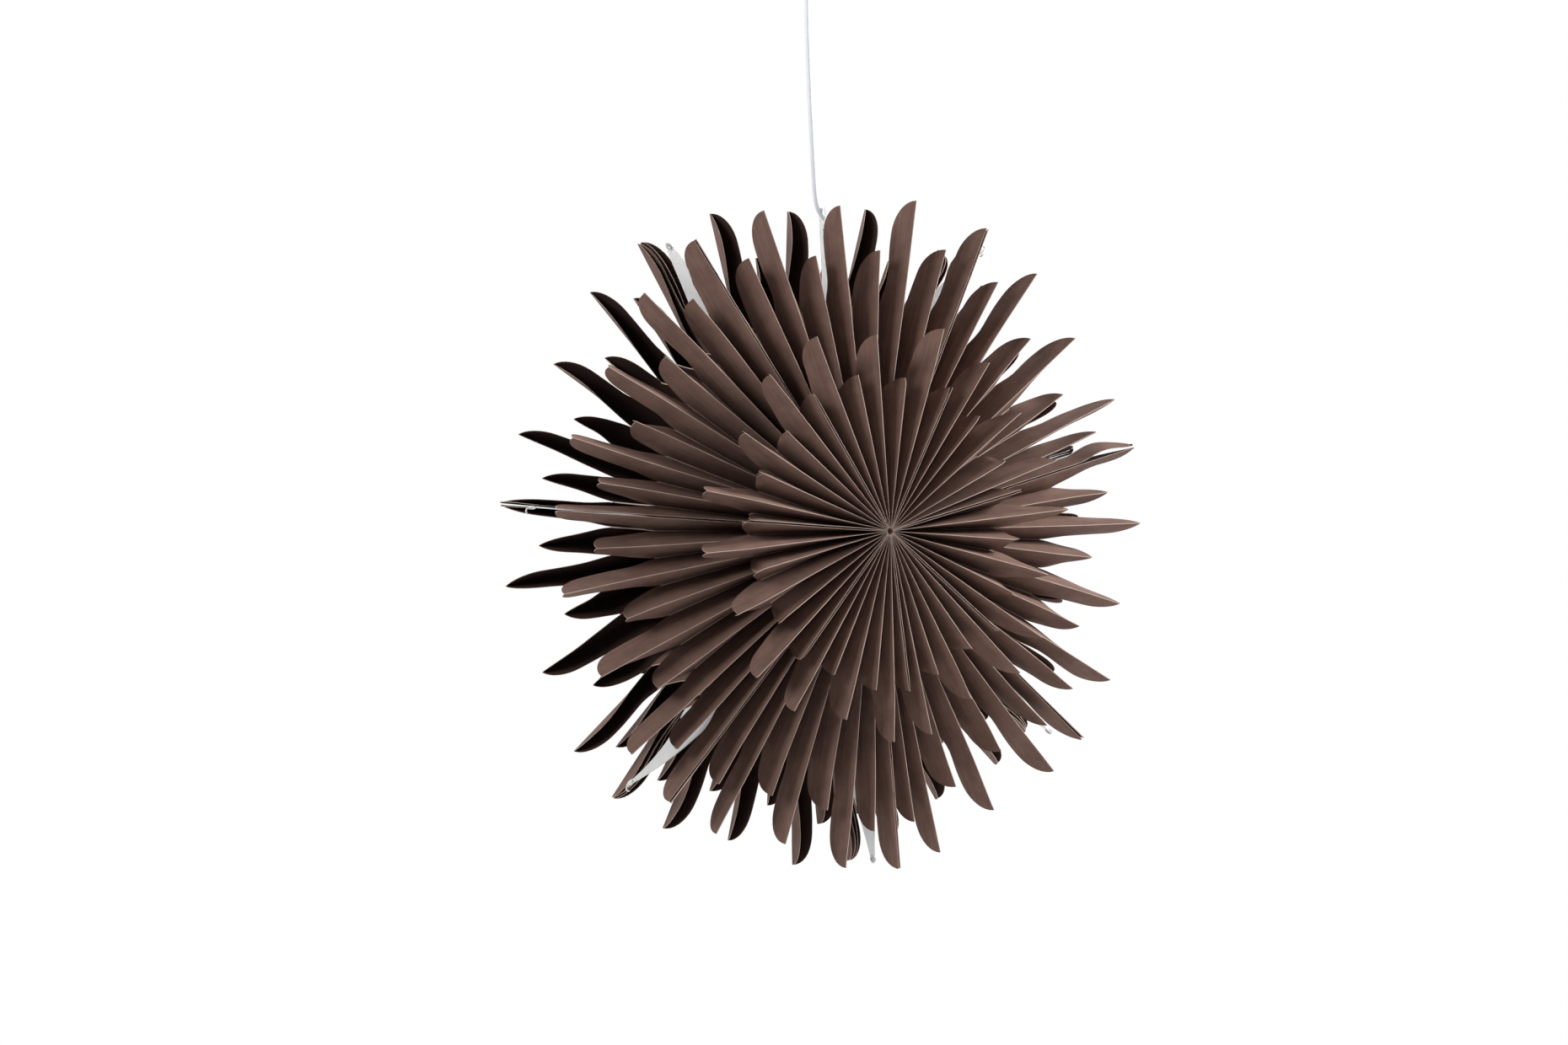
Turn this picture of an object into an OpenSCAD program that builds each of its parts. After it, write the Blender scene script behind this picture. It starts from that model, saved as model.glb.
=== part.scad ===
// Paper star lamp, hung by its cord from a ceiling cup.
// Seven packs of folded leaves stand like the slices of a fruit round a level axis.
// The axis runs along Y, with one pole of the star at -Y and the other at +Y.
// The origin is the middle of the ceiling plate's top face, and the star hangs below it.

/* [Finger packs] */
// Axis to the tip of a long finger beside a seam
long_tip_r = 298; // [285:1:310]
// Axis to the tip of the long finger in the middle of a pack
middle_tip_r = 286; // [275:1:300]
// Axis to the tips of the two half fingers at a seam
seam_tip_r = 302; // [290:1:315]
// Axis to the tip of a short finger beside a seam
short_tip_r = 264; // [250:1:272]
// Axis to the tip of a short finger beside the middle one
short_middle_tip_r = 247; // [240:1:260]
// Height of the finger ridges above the star's middle plane, run back to the axis
ridge_height = 78; // [76:0.5:80]
// Height of the ridge at the tip of a long finger
ridge_tip_height = 53; // [50:0.5:58]
// Width of one face of a folded finger, from its ridge to its free edge
finger_face = 26; // [24:0.5:28]
// Share of the face width that is left at the waist of a long finger
waist_share = 0.72; // [0.6:0.02:0.9]
// Length of the rounded knife cut at the end of a long finger
long_cut = 31; // [24:1:36]
// Length of the rounded knife cut at the end of a short finger
short_cut = 25; // [20:1:30]
// Axis to the bottom of the notch between the front and back fingers
notch_r = 199; // [190:1:205]
// Axis to the inner edge of the packs, round the space for the bulb
hollow_r = 85; // [82:1:90]

/* [Pole leaves] */
// Height of the pole above the star's middle plane
pole_height = 106; // [104:0.5:112]
// Axis to the tip of a long pole leaf
pole_long_r = 184; // [175:1:190]
// Axis to the tip of the middle pole leaf
pole_middle_r = 170; // [160:1:180]
// Axis to the tip of a short pole leaf
pole_short_r = 137; // [130:1:145]
// Axis to the tips of the two half pole leaves at a seam
pole_seam_r = 142; // [130:1:148]
// Width of one face of a pole leaf
pole_face = 28; // [26:0.5:30]
// Length of the rounded cut at the end of a pole leaf
pole_cut = 24; // [18:1:28]
// Radius of the small opening where all the folds meet
pole_hole_r = 5; // [4:0.5:8]

/* [Paper] */
// Thickness of the folded paper
paper_t = 0.6; // [0.5:0.05:0.8]
// Thickness of a wall, which is two leaves glued back to back
wall_t = 1.2; // [1:0.1:1.4]

/* [White cards] */
// Thickness of the white card in each seam
card_t = 0.8; // [0.6:0.1:1.2]
// How far the edge of a card lies below the ridge of the seam fingers
card_inset = 1.9; // [1.9:0.1:2.3]
// Axis to the place where a card starts to taper
card_wide_r = 160; // [140:1:175]
// Axis to the narrow neck of a card
card_neck_r = 235; // [225:1:245]
// Half width of a card at its neck
card_neck_half = 20; // [16:1:24]
// Radius of the round tip of a card
card_tip_r = 4; // [3.5:0.5:5]
// Axis to the hole in the tip of a card
card_hole_at = 297; // [292:1:300]
// Radius of the hole in the tip of a card
card_hole_r = 2; // [1.8:0.1:2.4]
// Thickness of the wire of a closing hook
hook_wire_d = 1.4; // [1.2:0.1:1.6]
// Radius of the bend of a closing hook, to the middle of its wire
hook_r = 2.2; // [2:0.1:3]
// Angle through which the end of a closing hook is bent
hook_turn = 150; // [120:10:170]
// Radius of the flange of a pressed eyelet
eyelet_flange_r = 3.2; // [2.8:0.1:3.5]
// Thickness of the black elastic
elastic_d = 1.6; // [1.2:0.1:2]
// Length of the elastic loop
elastic_length = 34; // [28:1:40]
// Width of the elastic loop
elastic_width = 6; // [5:0.5:8]

/* [Hanging strip] */
// Thickness of the white strip that carries the star
strip_t = 1; // [0.8:0.1:1.4]
// Width of the strip
strip_w = 12; // [10:0.5:14]
// Height of the strip's top above the middle of the star
strip_top = 288; // [286:1:292]
// Height above which the strip leans away from the leaf wall
strip_bend_at = 205; // [200:1:215]
// Length of the step where the strip leaves the leaf wall to pass the lamp holder
strip_step = 8; // [6:0.5:9]
// Sideways lean of the strip at its top
strip_lean = 4.6; // [4:0.2:5.2]
// Height of the strip's foot above the middle of the star
strip_foot = 58; // [54:1:60]
// Width of the slot that the cord passes through
slot_w = 6.6; // [6:0.2:7]
// Length of that slot
slot_length = 12; // [11:0.5:13]

/* [Lamp holder] */
// Outer diameter of the lamp holder
holder_d = 29; // [28:0.5:32]
// Wall of the lamp holder
holder_wall = 2; // [1.6:0.1:2.4]
// Length of the lamp holder's sleeve
holder_length = 32; // [28:1:36]
// Height of the cap above the sleeve
cap_length = 20; // [18:1:22]
// Diameter of the neck on the cap
neck_d = 10; // [9.6:0.2:11]
// Length of the neck on the cap
neck_length = 6; // [5:0.5:7]
// Diameter of the globe of the bulb
globe_d = 45; // [40:1:50]
// Diameter of the metal base of the bulb
bulb_base_d = 13.8; // [13.5:0.1:14]
// Length of the metal base of the bulb
bulb_base_length = 16; // [14:1:18]
// Wall of the brass sleeve that the bulb screws into
sleeve_wall = 0.8; // [0.6:0.1:1]

/* [Cord] */
// Diameter of the white cord
cord_d = 5; // [4.6:0.1:5.2]
// Length of the tapered relief on the lamp holder
holder_relief_length = 24; // [20:1:26]
// Length of the tapered relief under the ceiling cup
cup_relief_length = 26; // [22:1:28]
// Wall of a relief at its thin end
relief_wall = 1; // [0.8:0.1:1.2]

/* [Ceiling cup] */
// Outer diameter of the ceiling cup
cup_d = 60; // [56:1:70]
// Height of the ceiling cup
cup_h = 34; // [32:1:36]
// Wall of the ceiling cup
cup_wall = 2.5; // [2:0.1:3]
// Rounding at the lower edge of the cup
cup_round = 8; // [4:0.5:10]
// Thickness of the ceiling plate
plate_t = 2.5; // [2:0.1:4]
// Height of the plate's rim
rim_h = 8; // [7:0.5:10]
// Distance between the two screw holes in the plate
screw_pitch = 34; // [30:1:36]
// Diameter of a screw hole in the plate
screw_hole_d = 4.6; // [4:0.1:5]
// Diameter of the hole for the house wires
wire_hole_d = 10; // [8:0.5:12]
// Diameter of a grub screw in the cup's side
grub_d = 3; // [2.6:0.1:4]
// Length of a grub screw
grub_length = 4; // [3:0.1:5]

/* [Fits] */
// Gap left between pieces that rest on each other
seat_gap = 0.3; // [0.2:0.05:0.4]
// Radial clearance of the cord in its holes
cord_clearance = 0.2; // [0.15:0.05:0.3]
// Radial clearance of the cup on the plate's rim
cup_clearance = 0.3; // [0.2:0.05:0.4]
// Radial clearance of the bulb in its sleeve
bulb_clearance = 0.4; // [0.3:0.05:0.5]

/* [Hidden] */

// The star hangs this far below the ceiling and this far beside the mount
drop = 540;
lean = 22;

// Angle of each seam round the axis, from +X towards +Z: the packs are fanned out by hand
seam_at = [15, 62, 123, 176, 231, 279, 322, 375];
// How far the middle leaves of each pack have slid towards its second seam, as a share of the pack
slide = [-0.03, 0.022, 0.02, 0.04, -0.015, -0.02, -0.03];
// Gaps between the ridges of a pack: the first and last ridge are the half fingers at the seams
finger_gaps = 8;
leaf_gaps = 6;
// Half of the gap that the card keeps open between two packs
seam_half = card_t / 2 + seat_gap;
// Half thickness of the glue between neighbouring leaves
glue_half = 0.05;
// The folds stay glued this far past the end of their wall
glue_past = 2;
// Axis to the waist of a long finger
waist_past = 28;
waist_r = notch_r + waist_past;
// Turns of the quarter ellipse along a knife cut, for a fold and for a flat leaf
cut_steps = [0, 24, 46, 68, 90];
seam_cut_steps = [20, 33, 48, 68, 90];
// Small metal and plastic pieces
rivet_t = 0.6;
eyelet_wall = 0.5;
eyelet_clearance = 0.1;
elastic_behind = 23;
// Reach of the shapes that only trim others
far = 400;

finger_tips = [seam_tip_r, short_tip_r, long_tip_r, short_middle_tip_r, middle_tip_r,
    short_middle_tip_r, long_tip_r, short_tip_r, seam_tip_r];
leaf_tips = [pole_seam_r, pole_long_r, pole_short_r, pole_middle_r, pole_short_r,
    pole_long_r, pole_seam_r];

ridge_fall = (ridge_height - ridge_tip_height) / long_tip_r;
ridge_tilt = atan(ridge_fall);

// Cards with a hook, an eyelet and the elastic, by the number of their seam
hook_seams = [1, 3, 4];
eyelet_seams = [2, 5, 6];
elastic_seam = 0;

function open_angle(k) = seam_at[k + 1] - seam_at[k];
// Share of the pack at which ridge i of n stands
function share(k, i, n) = i / n + slide[k] * sin(180 * i / n);
// Angle of ridge i, and of the valley after it, from +X towards +Z
function ridge_angle(k, i, n) = seam_at[k] + open_angle(k) * share(k, i, n);
function valley_angle(k, i, n) = (ridge_angle(k, i, n) + ridge_angle(k, i + 1, n)) / 2;
function half_gap(k, i, n) = (ridge_angle(k, i + 1, n) - ridge_angle(k, i, n)) / 2;
// Half angle of a fold whose face just reaches its neighbour at the given radius
function fold_half(k, n, face, reach_r) = asin(reach_r * sin(open_angle(k) / (2 * n)) / face);
function finger_fold(k) = fold_half(k, finger_gaps, finger_face, notch_r + glue_past);
function leaf_fold(k) = fold_half(k, leaf_gaps, pole_face, pole_middle_r);
// Height of the folded fingers over a line at the angle off from the nearest ridge
function finger_height(k, r, off) =
    ridge_height - r * cos(off) * ridge_fall
    - r * sin(off) / (tan(finger_fold(k)) * cos(ridge_tilt));
// Angle between a line and the finger ridge nearest to it
function off_ridge(k, angle) =
    min([for (i = [0:finger_gaps]) abs(angle - ridge_angle(k, i, finger_gaps))]);

finger_colour = "#6b5249";
card_colour = "#f2f1ee";

// Moves a piece from the middle of the star to where the star hangs
module in_star() translate([lean, 0, -drop]) children();

// Turns a piece that is drawn along +X to its angle round the axis
module turned(angle) rotate([0, -angle, 0]) children();

// Flat piece in the plane of the axis and +X, drawn with Y towards the front pole
module blade(t) rotate([180, 0, 0]) linear_extrude(t, center = true) children();

// Folded strip with its ridge along +X: its two faces open towards +Y
module fold_strip(half, face) {
    depth = face * cos(half);
    side = face * sin(half);
    inner = side - paper_t / cos(half);
    rotate([0, 90, 0])
        linear_extrude(far)
            polygon([[0, 0], [side, depth], [inner, depth], [0, paper_t / sin(half)],
                [-inner, depth], [-side, depth]]);
}

// Slice of space from r1 outwards between two lines z = slope * r + start
module slice(r1, low, high)
    rotate([90, 0, 0])
        linear_extrude(far, center = true)
            polygon([[r1, low[0] * r1 + low[1]], [far, low[0] * far + low[1]],
                [far, high[0] * far + high[1]], [r1, high[0] * r1 + high[1]]]);

// Space that leaf i of n has between its neighbours, or between a neighbour and the seam.
// A half leaf starts where its room is half as wide again as the seam needs.
module leaf_room(k, i, n, r1) {
    at_seam = i == 0 || i == n;
    low = i == 0 ? [0, seam_half] : [-tan(half_gap(k, i - 1, n)), glue_half];
    high = i == n ? [0, -seam_half] : [tan(half_gap(k, i, n)), -glue_half];
    widening = tan(half_gap(k, i == n ? n - 1 : i, n));
    slice(at_seam ? max(r1, 1.5 * seam_half / widening) : r1, low, high);
}

// Side view of a leaf in [radius, depth below the ridge]: a rounded knife cut ends it
module knife_profile(r1, tip, cut, face, waist, waist_r)
    polygon(concat(
        [[r1, -3], [tip, -3]],
        [for (t = cut_steps) [tip - cut + cut * cos(t), face * waist * sin(t)]],
        [[waist_r, face * waist], [r1 + (waist_r - r1) * 0.6, face + 1], [r1, face + 1]]));

// Front finger i of pack k
module finger(k, i) {
    tip = finger_tips[i];
    long = i % 2 == 0;
    cut = long ? long_cut : short_cut;
    waist = long ? waist_share : 1;
    depth = finger_face * cos(finger_fold(k));
    turned(ridge_angle(k, i, finger_gaps))
        intersection() {
            translate([0, -ridge_height, 0])
                rotate([0, 0, ridge_tilt])
                    intersection() {
                        fold_strip(finger_fold(k), finger_face);
                        linear_extrude(2 * finger_face, center = true)
                            knife_profile(0, tip / cos(ridge_tilt), cut, depth, waist, waist_r);
                    }
            leaf_room(k, i, finger_gaps, hollow_r);
        }
}

// How far the edge of a wall lies below the valley over it, under the paper of the folds
function wall_drop(fold) = paper_t / sin(fold) + seat_gap;

// Wall under the valley after finger i, from the front fingers to the back ones
module finger_wall(k, i) {
    off = half_gap(k, i, finger_gaps);
    start = hollow_r + glue_past;
    start_height = finger_height(k, start, off) - wall_drop(finger_fold(k));
    end_height = finger_height(k, notch_r, off) - wall_drop(finger_fold(k));
    turned(valley_angle(k, i, finger_gaps))
        blade(wall_t)
            polygon([[start, start_height], [notch_r, end_height],
                [notch_r, -end_height], [start, -start_height]]);
}

// Places a flat leaf beside the card: side is 1 after a seam, -1 before it
module beside_seam(k, side)
    turned(seam_at[side > 0 ? k : k + 1])
        translate([0, 0, side * (seam_half + paper_t / 2)])
            blade(paper_t) children();

// How far the top of a seam leaf lies below the ridge of its half leaf, under its paper
function seam_leaf_inset(fold) = (seam_half + paper_t) / tan(fold) + wall_drop(fold);

// Flat leaf that closes the half finger beside the card
module seam_leaf(k, side) {
    depth = finger_face * cos(finger_fold(k));
    beside_seam(k, side)
        polygon(concat(
            [[hollow_r, finger_height(k, hollow_r, 0) - seam_leaf_inset(finger_fold(k))]],
            [for (t = seam_cut_steps)
                let (r = seam_tip_r - long_cut * (1 - cos(t)))
                [r, finger_height(k, r, 0) - depth * waist_share * sin(t)]],
            [[waist_r, finger_height(k, waist_r, 0) - depth * waist_share],
                [notch_r, finger_height(k, notch_r, 0) - depth],
                [hollow_r, finger_height(k, hollow_r, 0) - depth]]));
}

// Wall in line with the two seam leaves, between the front and the back one
module seam_wall(k, side) {
    drop_to = finger_face * cos(finger_fold(k)) + seat_gap;
    start = hollow_r + glue_past;
    start_height = finger_height(k, start, 0) - drop_to;
    end_height = finger_height(k, notch_r, 0) - drop_to;
    beside_seam(k, side)
        polygon([[start, start_height], [notch_r, end_height],
            [notch_r, -end_height], [start, -start_height]]);
}

// The folded fingers at the front of pack k, each a leaf glued to the next along the valley
module fingers(k) {
    for (i = [0:finger_gaps]) finger(k, i);
    for (side = [-1, 1]) seam_leaf(k, side);
}

// One pack: front fingers, back fingers and the walls between them
module pack(k)
    color(finger_colour)
        in_star() {
            fingers(k);
            mirror([0, 1, 0]) fingers(k);
            for (i = [0:finger_gaps - 1]) finger_wall(k, i);
            for (side = [-1, 1]) seam_wall(k, side);
        }

// Leaf i of the pole leaves over pack k
module pole_leaf(k, i) {
    depth = pole_face * cos(leaf_fold(k));
    turned(ridge_angle(k, i, leaf_gaps))
        intersection() {
            translate([0, -pole_height, 0])
                intersection() {
                    fold_strip(leaf_fold(k), pole_face);
                    linear_extrude(2 * pole_face, center = true)
                        knife_profile(0, leaf_tips[i], pole_cut, depth, 1, pole_short_r - pole_cut);
                }
            leaf_room(k, i, leaf_gaps, pole_hole_r);
        }
}

// Wall under the valley after pole leaf i: its lower edge is seated on the fingers below
module pole_wall(k, i) {
    inner_r = 5 * pole_hole_r;
    outer_r = pole_short_r - pole_cut / 2;
    angle = valley_angle(k, i, leaf_gaps);
    off = off_ridge(k, angle);
    drop_per_r = sin(half_gap(k, i, leaf_gaps)) / tan(leaf_fold(k));
    lift = seat_gap + wall_t / 2 / tan(finger_fold(k));
    top = pole_height - wall_drop(leaf_fold(k));
    turned(angle)
        blade(wall_t)
            polygon([[inner_r, top - inner_r * drop_per_r], [outer_r, top - outer_r * drop_per_r],
                [outer_r, finger_height(k, outer_r, off) + lift],
                [inner_r, finger_height(k, inner_r, off) + lift]]);
}

// Flat leaf that closes the half pole leaf at a seam and stands on the half finger below
module pole_seam_leaf(k, side) {
    depth = pole_face * cos(leaf_fold(k));
    inner_r = 8 * pole_hole_r;
    cut_from = pole_seam_r - pole_cut;
    beside_seam(k, side)
        polygon(concat(
            [[cut_from, finger_height(k, cut_from, 0) + seat_gap],
                [inner_r, finger_height(k, inner_r, 0) + seat_gap],
                [inner_r, pole_height - seam_leaf_inset(leaf_fold(k))]],
            [for (t = seam_cut_steps)
                [pole_seam_r - pole_cut * (1 - cos(t)), pole_height - depth * sin(t)]]));
}

// The folded leaves round the front pole that lie over pack k
module front_leaves(k)
    color(finger_colour)
        in_star() {
            for (side = [-1, 1]) pole_seam_leaf(k, side);
            for (i = [0:leaf_gaps]) pole_leaf(k, i);
            for (i = [0:leaf_gaps - 1]) pole_wall(k, i);
        }

module back_leaves(k) mirror([0, 1, 0]) front_leaves(k);

// Half width of a card at radius r, which follows the ridge of the seam fingers
function card_half(r) = ridge_height - r * ridge_fall - card_inset;

// White card in the seam before pack k, held between the flat leaves of the two packs
module card(k) {
    start = hollow_r + glue_past;
    edge = [[start, card_half(start)], [card_wide_r, card_half(card_wide_r)],
        [card_neck_r, card_neck_half], [card_hole_at, 0.9 * card_tip_r]];
    color(card_colour)
        in_star()
            turned(seam_at[k])
                difference() {
                    union() {
                        blade(card_t)
                            polygon(concat(edge, [for (i = [len(edge) - 1:-1:0]) [edge[i][0], -edge[i][1]]]));
                        translate([card_hole_at, 0, 0])
                            cylinder(h = card_t, r = card_tip_r, center = true, $fn = 48);
                    }
                    translate([card_hole_at, 0, 0])
                        cylinder(h = 3 * card_t, r = card_hole_r, center = true, $fn = 48);
                }
}

// Wire hooks at the tips of three cards, each riveted through the hole of its card
module closing_hooks() {
    side = card_t / 2 + seat_gap;
    lie = side + hook_wire_d / 2;
    bend_from = card_hole_at + card_tip_r + 1;
    color("#e6e6e6")
        in_star()
            for (k = hook_seams)
                turned(seam_at[k]) {
                    translate([card_hole_at, 0, -side - rivet_t])
                        cylinder(h = side + rivet_t + lie, r = card_hole_r - seat_gap, $fn = 32);
                    translate([card_hole_at, 0, -side - rivet_t])
                        cylinder(h = rivet_t, r = eyelet_flange_r, $fn = 32);
                    translate([card_hole_at, 0, lie])
                        rotate([0, 90, 0])
                            cylinder(h = bend_from - card_hole_at, d = hook_wire_d, $fn = 24);
                    translate([bend_from, 0, lie + hook_r])
                        rotate([90, 0, 0])
                            rotate([0, 0, -90])
                                rotate_extrude(angle = hook_turn, $fn = 48)
                                    translate([hook_r, 0]) circle(d = hook_wire_d, $fn = 24);
                }
}

// Pressed metal eyelets in the holes of three cards
module card_eyelets()
    color("#c9c9c9")
        in_star()
            for (k = eyelet_seams)
                turned(seam_at[k])
                    translate([card_hole_at, 0, 0])
                        rotate_extrude($fn = 48) {
                            barrel_r = card_hole_r - eyelet_clearance;
                            bore = barrel_r - eyelet_wall;
                            side = card_t / 2 + eyelet_clearance;
                            polygon([[bore, -side - eyelet_wall], [eyelet_flange_r, -side - eyelet_wall],
                                [eyelet_flange_r, -side], [barrel_r, -side],
                                [barrel_r, side], [eyelet_flange_r, side],
                                [eyelet_flange_r, side + eyelet_wall], [bore, side + eyelet_wall]]);
                        }

// Black elastic loop that lies against the card of its seam
module elastic_loop() {
    side = (elastic_width - elastic_d) / 2;
    start = card_hole_at - card_tip_r - elastic_behind - elastic_length;
    straight = elastic_length - elastic_width / 2;
    color("#1c1c1e")
        in_star()
            turned(seam_at[elastic_seam])
                translate([start, 0, card_t / 2 + seat_gap + elastic_d / 2 + side]) {
                    for (s = [-1, 1])
                        translate([0, 0, s * side])
                            rotate([0, 90, 0]) cylinder(h = straight, d = elastic_d, $fn = 24);
                    translate([straight, 0, 0])
                        rotate([90, 0, 0])
                            rotate([0, 0, -90])
                                rotate_extrude(angle = 180, $fn = 48)
                                    translate([side, 0]) circle(d = elastic_d, $fn = 24);
                }
}

// The strip is glued to the upright wall in the middle of the top pack and lies along it
strip_inner = wall_t / 2 + seat_gap;
lamp_side = -3.6;
slot_at = strip_top - 8;
relief_bore = neck_d / 2 + cord_clearance;
relief_collar_r = relief_bore + 2.5;
// Paper left round the hole in the strip's foot
foot_edge = 4;

// White strip: its foot goes round the neck of the lamp holder, its head takes the cord
module hanging_strip() {
    foot_end = lamp_side - neck_d / 2 - foot_edge;
    beside = lamp_side + relief_collar_r + seat_gap;
    step_end = hollow_r + glue_past;
    step_start = step_end - strip_step;
    color(card_colour)
        in_star()
            rotate([0, -90, 0])
                difference() {
                    rotate([90, 0, 0])
                        linear_extrude(strip_w, center = true)
                            polygon([[strip_foot, foot_end], [strip_foot + strip_t, foot_end],
                                [strip_foot + strip_t, beside], [step_start, beside],
                                [step_end, strip_inner], [strip_bend_at, strip_inner],
                                [strip_top, strip_inner + strip_lean],
                                [strip_top, strip_inner + strip_lean + strip_t],
                                [strip_bend_at, strip_inner + strip_t], [step_end, strip_inner + strip_t],
                                [step_start, beside + strip_t], [strip_foot, beside + strip_t]]);
                    translate([strip_foot + strip_t / 2, 0, lamp_side])
                        rotate([0, 90, 0])
                            cylinder(h = 4 * strip_t, d = neck_d + 2 * seat_gap, center = true, $fn = 48);
                    for (end = [-1, 1])
                        translate([slot_at + end * (slot_length - slot_w) / 2, 0, 0])
                            cylinder(h = far, d = slot_w, center = true, $fn = 32);
                    translate([slot_at, 0, 0])
                        cube([slot_length - slot_w, slot_w, far], center = true);
                    translate([slot_at - slot_length, 0, 0])
                        cylinder(h = far, d = strip_w / 5, center = true, $fn = 24);
                }
}

// Levels of the lamp, measured up from the middle of the star
shoulder_z = strip_foot - seat_gap;
cap_z = shoulder_z - cap_length;
holder_z = cap_z - holder_length;
holder_bore = holder_d / 2 - holder_wall;
sleeve_bore = bulb_base_d / 2 + bulb_clearance;
core_length = 13;
core_z = cap_z - core_length;
contact_r = 2.2;
// How far the contact stands out of the socket core, and how deep it sits in it
contact_out = 1;
contact_in = 3.7;
cord_bore = cord_d / 2 + cord_clearance;

// Places a turned piece on the lamp's own upright line
module on_lamp_line(z) in_star() translate([-lamp_side, 0, z]) children();

module lamp_holder()
    color("#f0efec")
        on_lamp_line(holder_z)
            rotate_extrude($fn = 96)
                polygon([[holder_bore, 0], [holder_d / 2 - 0.6, 0], [holder_d / 2, 0.6],
                    [holder_d / 2, holder_length - seat_gap], [holder_bore, holder_length - seat_gap]]);

module holder_cap()
    color("#f0efec")
        on_lamp_line(cap_z)
            rotate_extrude($fn = 96)
                polygon([[holder_bore, 0], [holder_d / 2, 0], [holder_d / 2, 8], [holder_d / 2 - 2, 14],
                    [neck_d / 2 + 4, cap_length], [neck_d / 2, cap_length],
                    [neck_d / 2, cap_length + neck_length], [cord_bore, cap_length + neck_length],
                    [cord_bore, cap_length - holder_wall], [neck_d / 2 + 2, cap_length - holder_wall],
                    [holder_bore - 2, 12], [holder_bore, 7]]);

// Tapered sleeve that grips the cord, screwed down over the neck and the strip's foot
module holder_relief() {
    seat = strip_t + 2 * seat_gap;
    color("#f0efec")
        on_lamp_line(shoulder_z)
            rotate_extrude($fn = 64)
                polygon([[relief_bore, seat], [relief_collar_r, seat], [relief_collar_r, neck_length + 1],
                    [cord_bore + 2.2, neck_length + 3], [cord_bore + relief_wall, seat + holder_relief_length],
                    [cord_bore, seat + holder_relief_length], [cord_bore, neck_length + seat_gap],
                    [relief_bore, neck_length + seat_gap]]);
}

module socket_core()
    color("#e9e6df")
        on_lamp_line(core_z)
            difference() {
                cylinder(h = core_length - 1, r = holder_bore - seat_gap, $fn = 64);
                translate([0, 0, -contact_out])
                    cylinder(h = contact_out + contact_in + seat_gap, r = contact_r + seat_gap, $fn = 32);
            }

module socket_sleeve()
    color("#c8a45a")
        on_lamp_line(core_z - bulb_base_length)
            difference() {
                cylinder(h = bulb_base_length - seat_gap, r = sleeve_bore + sleeve_wall, $fn = 64);
                translate([0, 0, -1])
                    cylinder(h = bulb_base_length + 2, r = sleeve_bore, $fn = 64);
            }

module centre_contact()
    color("#c8a45a")
        on_lamp_line(core_z - contact_out)
            cylinder(h = contact_out + contact_in, r = contact_r, $fn = 32);

// Sealed bulb: globe, neck and metal base are one closed body
module bulb() {
    top = core_z - contact_out - seat_gap;
    globe_r = globe_d / 2;
    neck_r = bulb_base_d / 2 - 0.3;
    meet = asin(neck_r / globe_r);
    globe_drop = bulb_base_length + 6 + globe_r * cos(meet);
    color("#fbfaf6")
        on_lamp_line(top)
            rotate_extrude($fn = 96)
                polygon(concat(
                    [[0, 0], [3, 0], [bulb_base_d / 2, -2.5], [bulb_base_d / 2, -bulb_base_length],
                        [neck_r, -bulb_base_length]],
                    [for (t = [meet:(180 - meet) / 12:180])
                        [max(0, globe_r * sin(t)), globe_r * cos(t) - globe_drop]]));
}

// Route of the cord from the ceiling cup to the lamp holder, hung from the origin
route = [
    [0, 0, -15], [0, 0, -26], [0, 0, -38], [0, 0, -50], [0, 0, -62], [0.2, 0, -76], [0.5, 0, -90],
    [1, 0, -105], [1.6, 0, -120], [2.3, 0, -135], [3, 0, -150], [3.8, 0, -165], [4.7, 0, -180],
    [5.6, 0, -195], [6.5, 0, -210], [7.4, 0, -224], [8.3, 0, -236], [9.8, 0, -247], [12.5, 0, -254.5],
    [16.5, 0, -260], [20.5, 0, -265.5], [23.2, 0, -273], [24.7, 0, -284], [25.4, 0, -297],
    [25.6, 0, -311], [25.6, 0, -325], [25.6, 0, -340], [25.6, 0, -355], [25.6, 0, -370],
    [25.6, 0, -385], [25.6, 0, -400], [25.6, 0, -415], [25.6, 0, -430], [25.6, 0, -445],
    [25.6, 0, -456], [25.6, 0, -467], [25.6, 0, -478], [25.6, 0, -489]
];
cord_sides = 8;

// Direction of the route at point i
function along(i) =
    let (a = route[max(0, i - 1)], b = route[min(len(route) - 1, i + 1)]) (b - a) / norm(b - a);

// Ring of points round the route at point i
function cord_ring(i) =
    let (d = along(i), across = cross(d, [0, 1, 0]), u = across / norm(across), v = cross(d, u))
    [for (s = [0:cord_sides - 1])
        let (t = 360 * s / cord_sides) route[i] + cord_d / 2 * (u * cos(t) + v * sin(t))];

module cord() {
    rings = len(route);
    points = [for (i = [0:rings - 1]) each cord_ring(i)];
    sides = [for (i = [0:rings - 2], s = [0:cord_sides - 1])
        let (a = i * cord_sides + s, b = i * cord_sides + (s + 1) % cord_sides)
        [a, b, b + cord_sides, a + cord_sides]];
    first = [for (s = [cord_sides - 1:-1:0]) s];
    last = [for (s = [0:cord_sides - 1]) (rings - 1) * cord_sides + s];
    color("#f4f5f8") polyhedron(points, concat([first], sides, [last]), convexity = 4);
}

rim_r = cup_d / 2 - cup_wall - cup_clearance;
rim_wall = 2;
relief_neck_r = cord_bore + 2;
relief_flange_r = relief_neck_r + 3;
relief_flange_t = 4;
nut_t = 3;
terminal = [16, 12, 10];
terminal_bore_d = 3;

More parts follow.
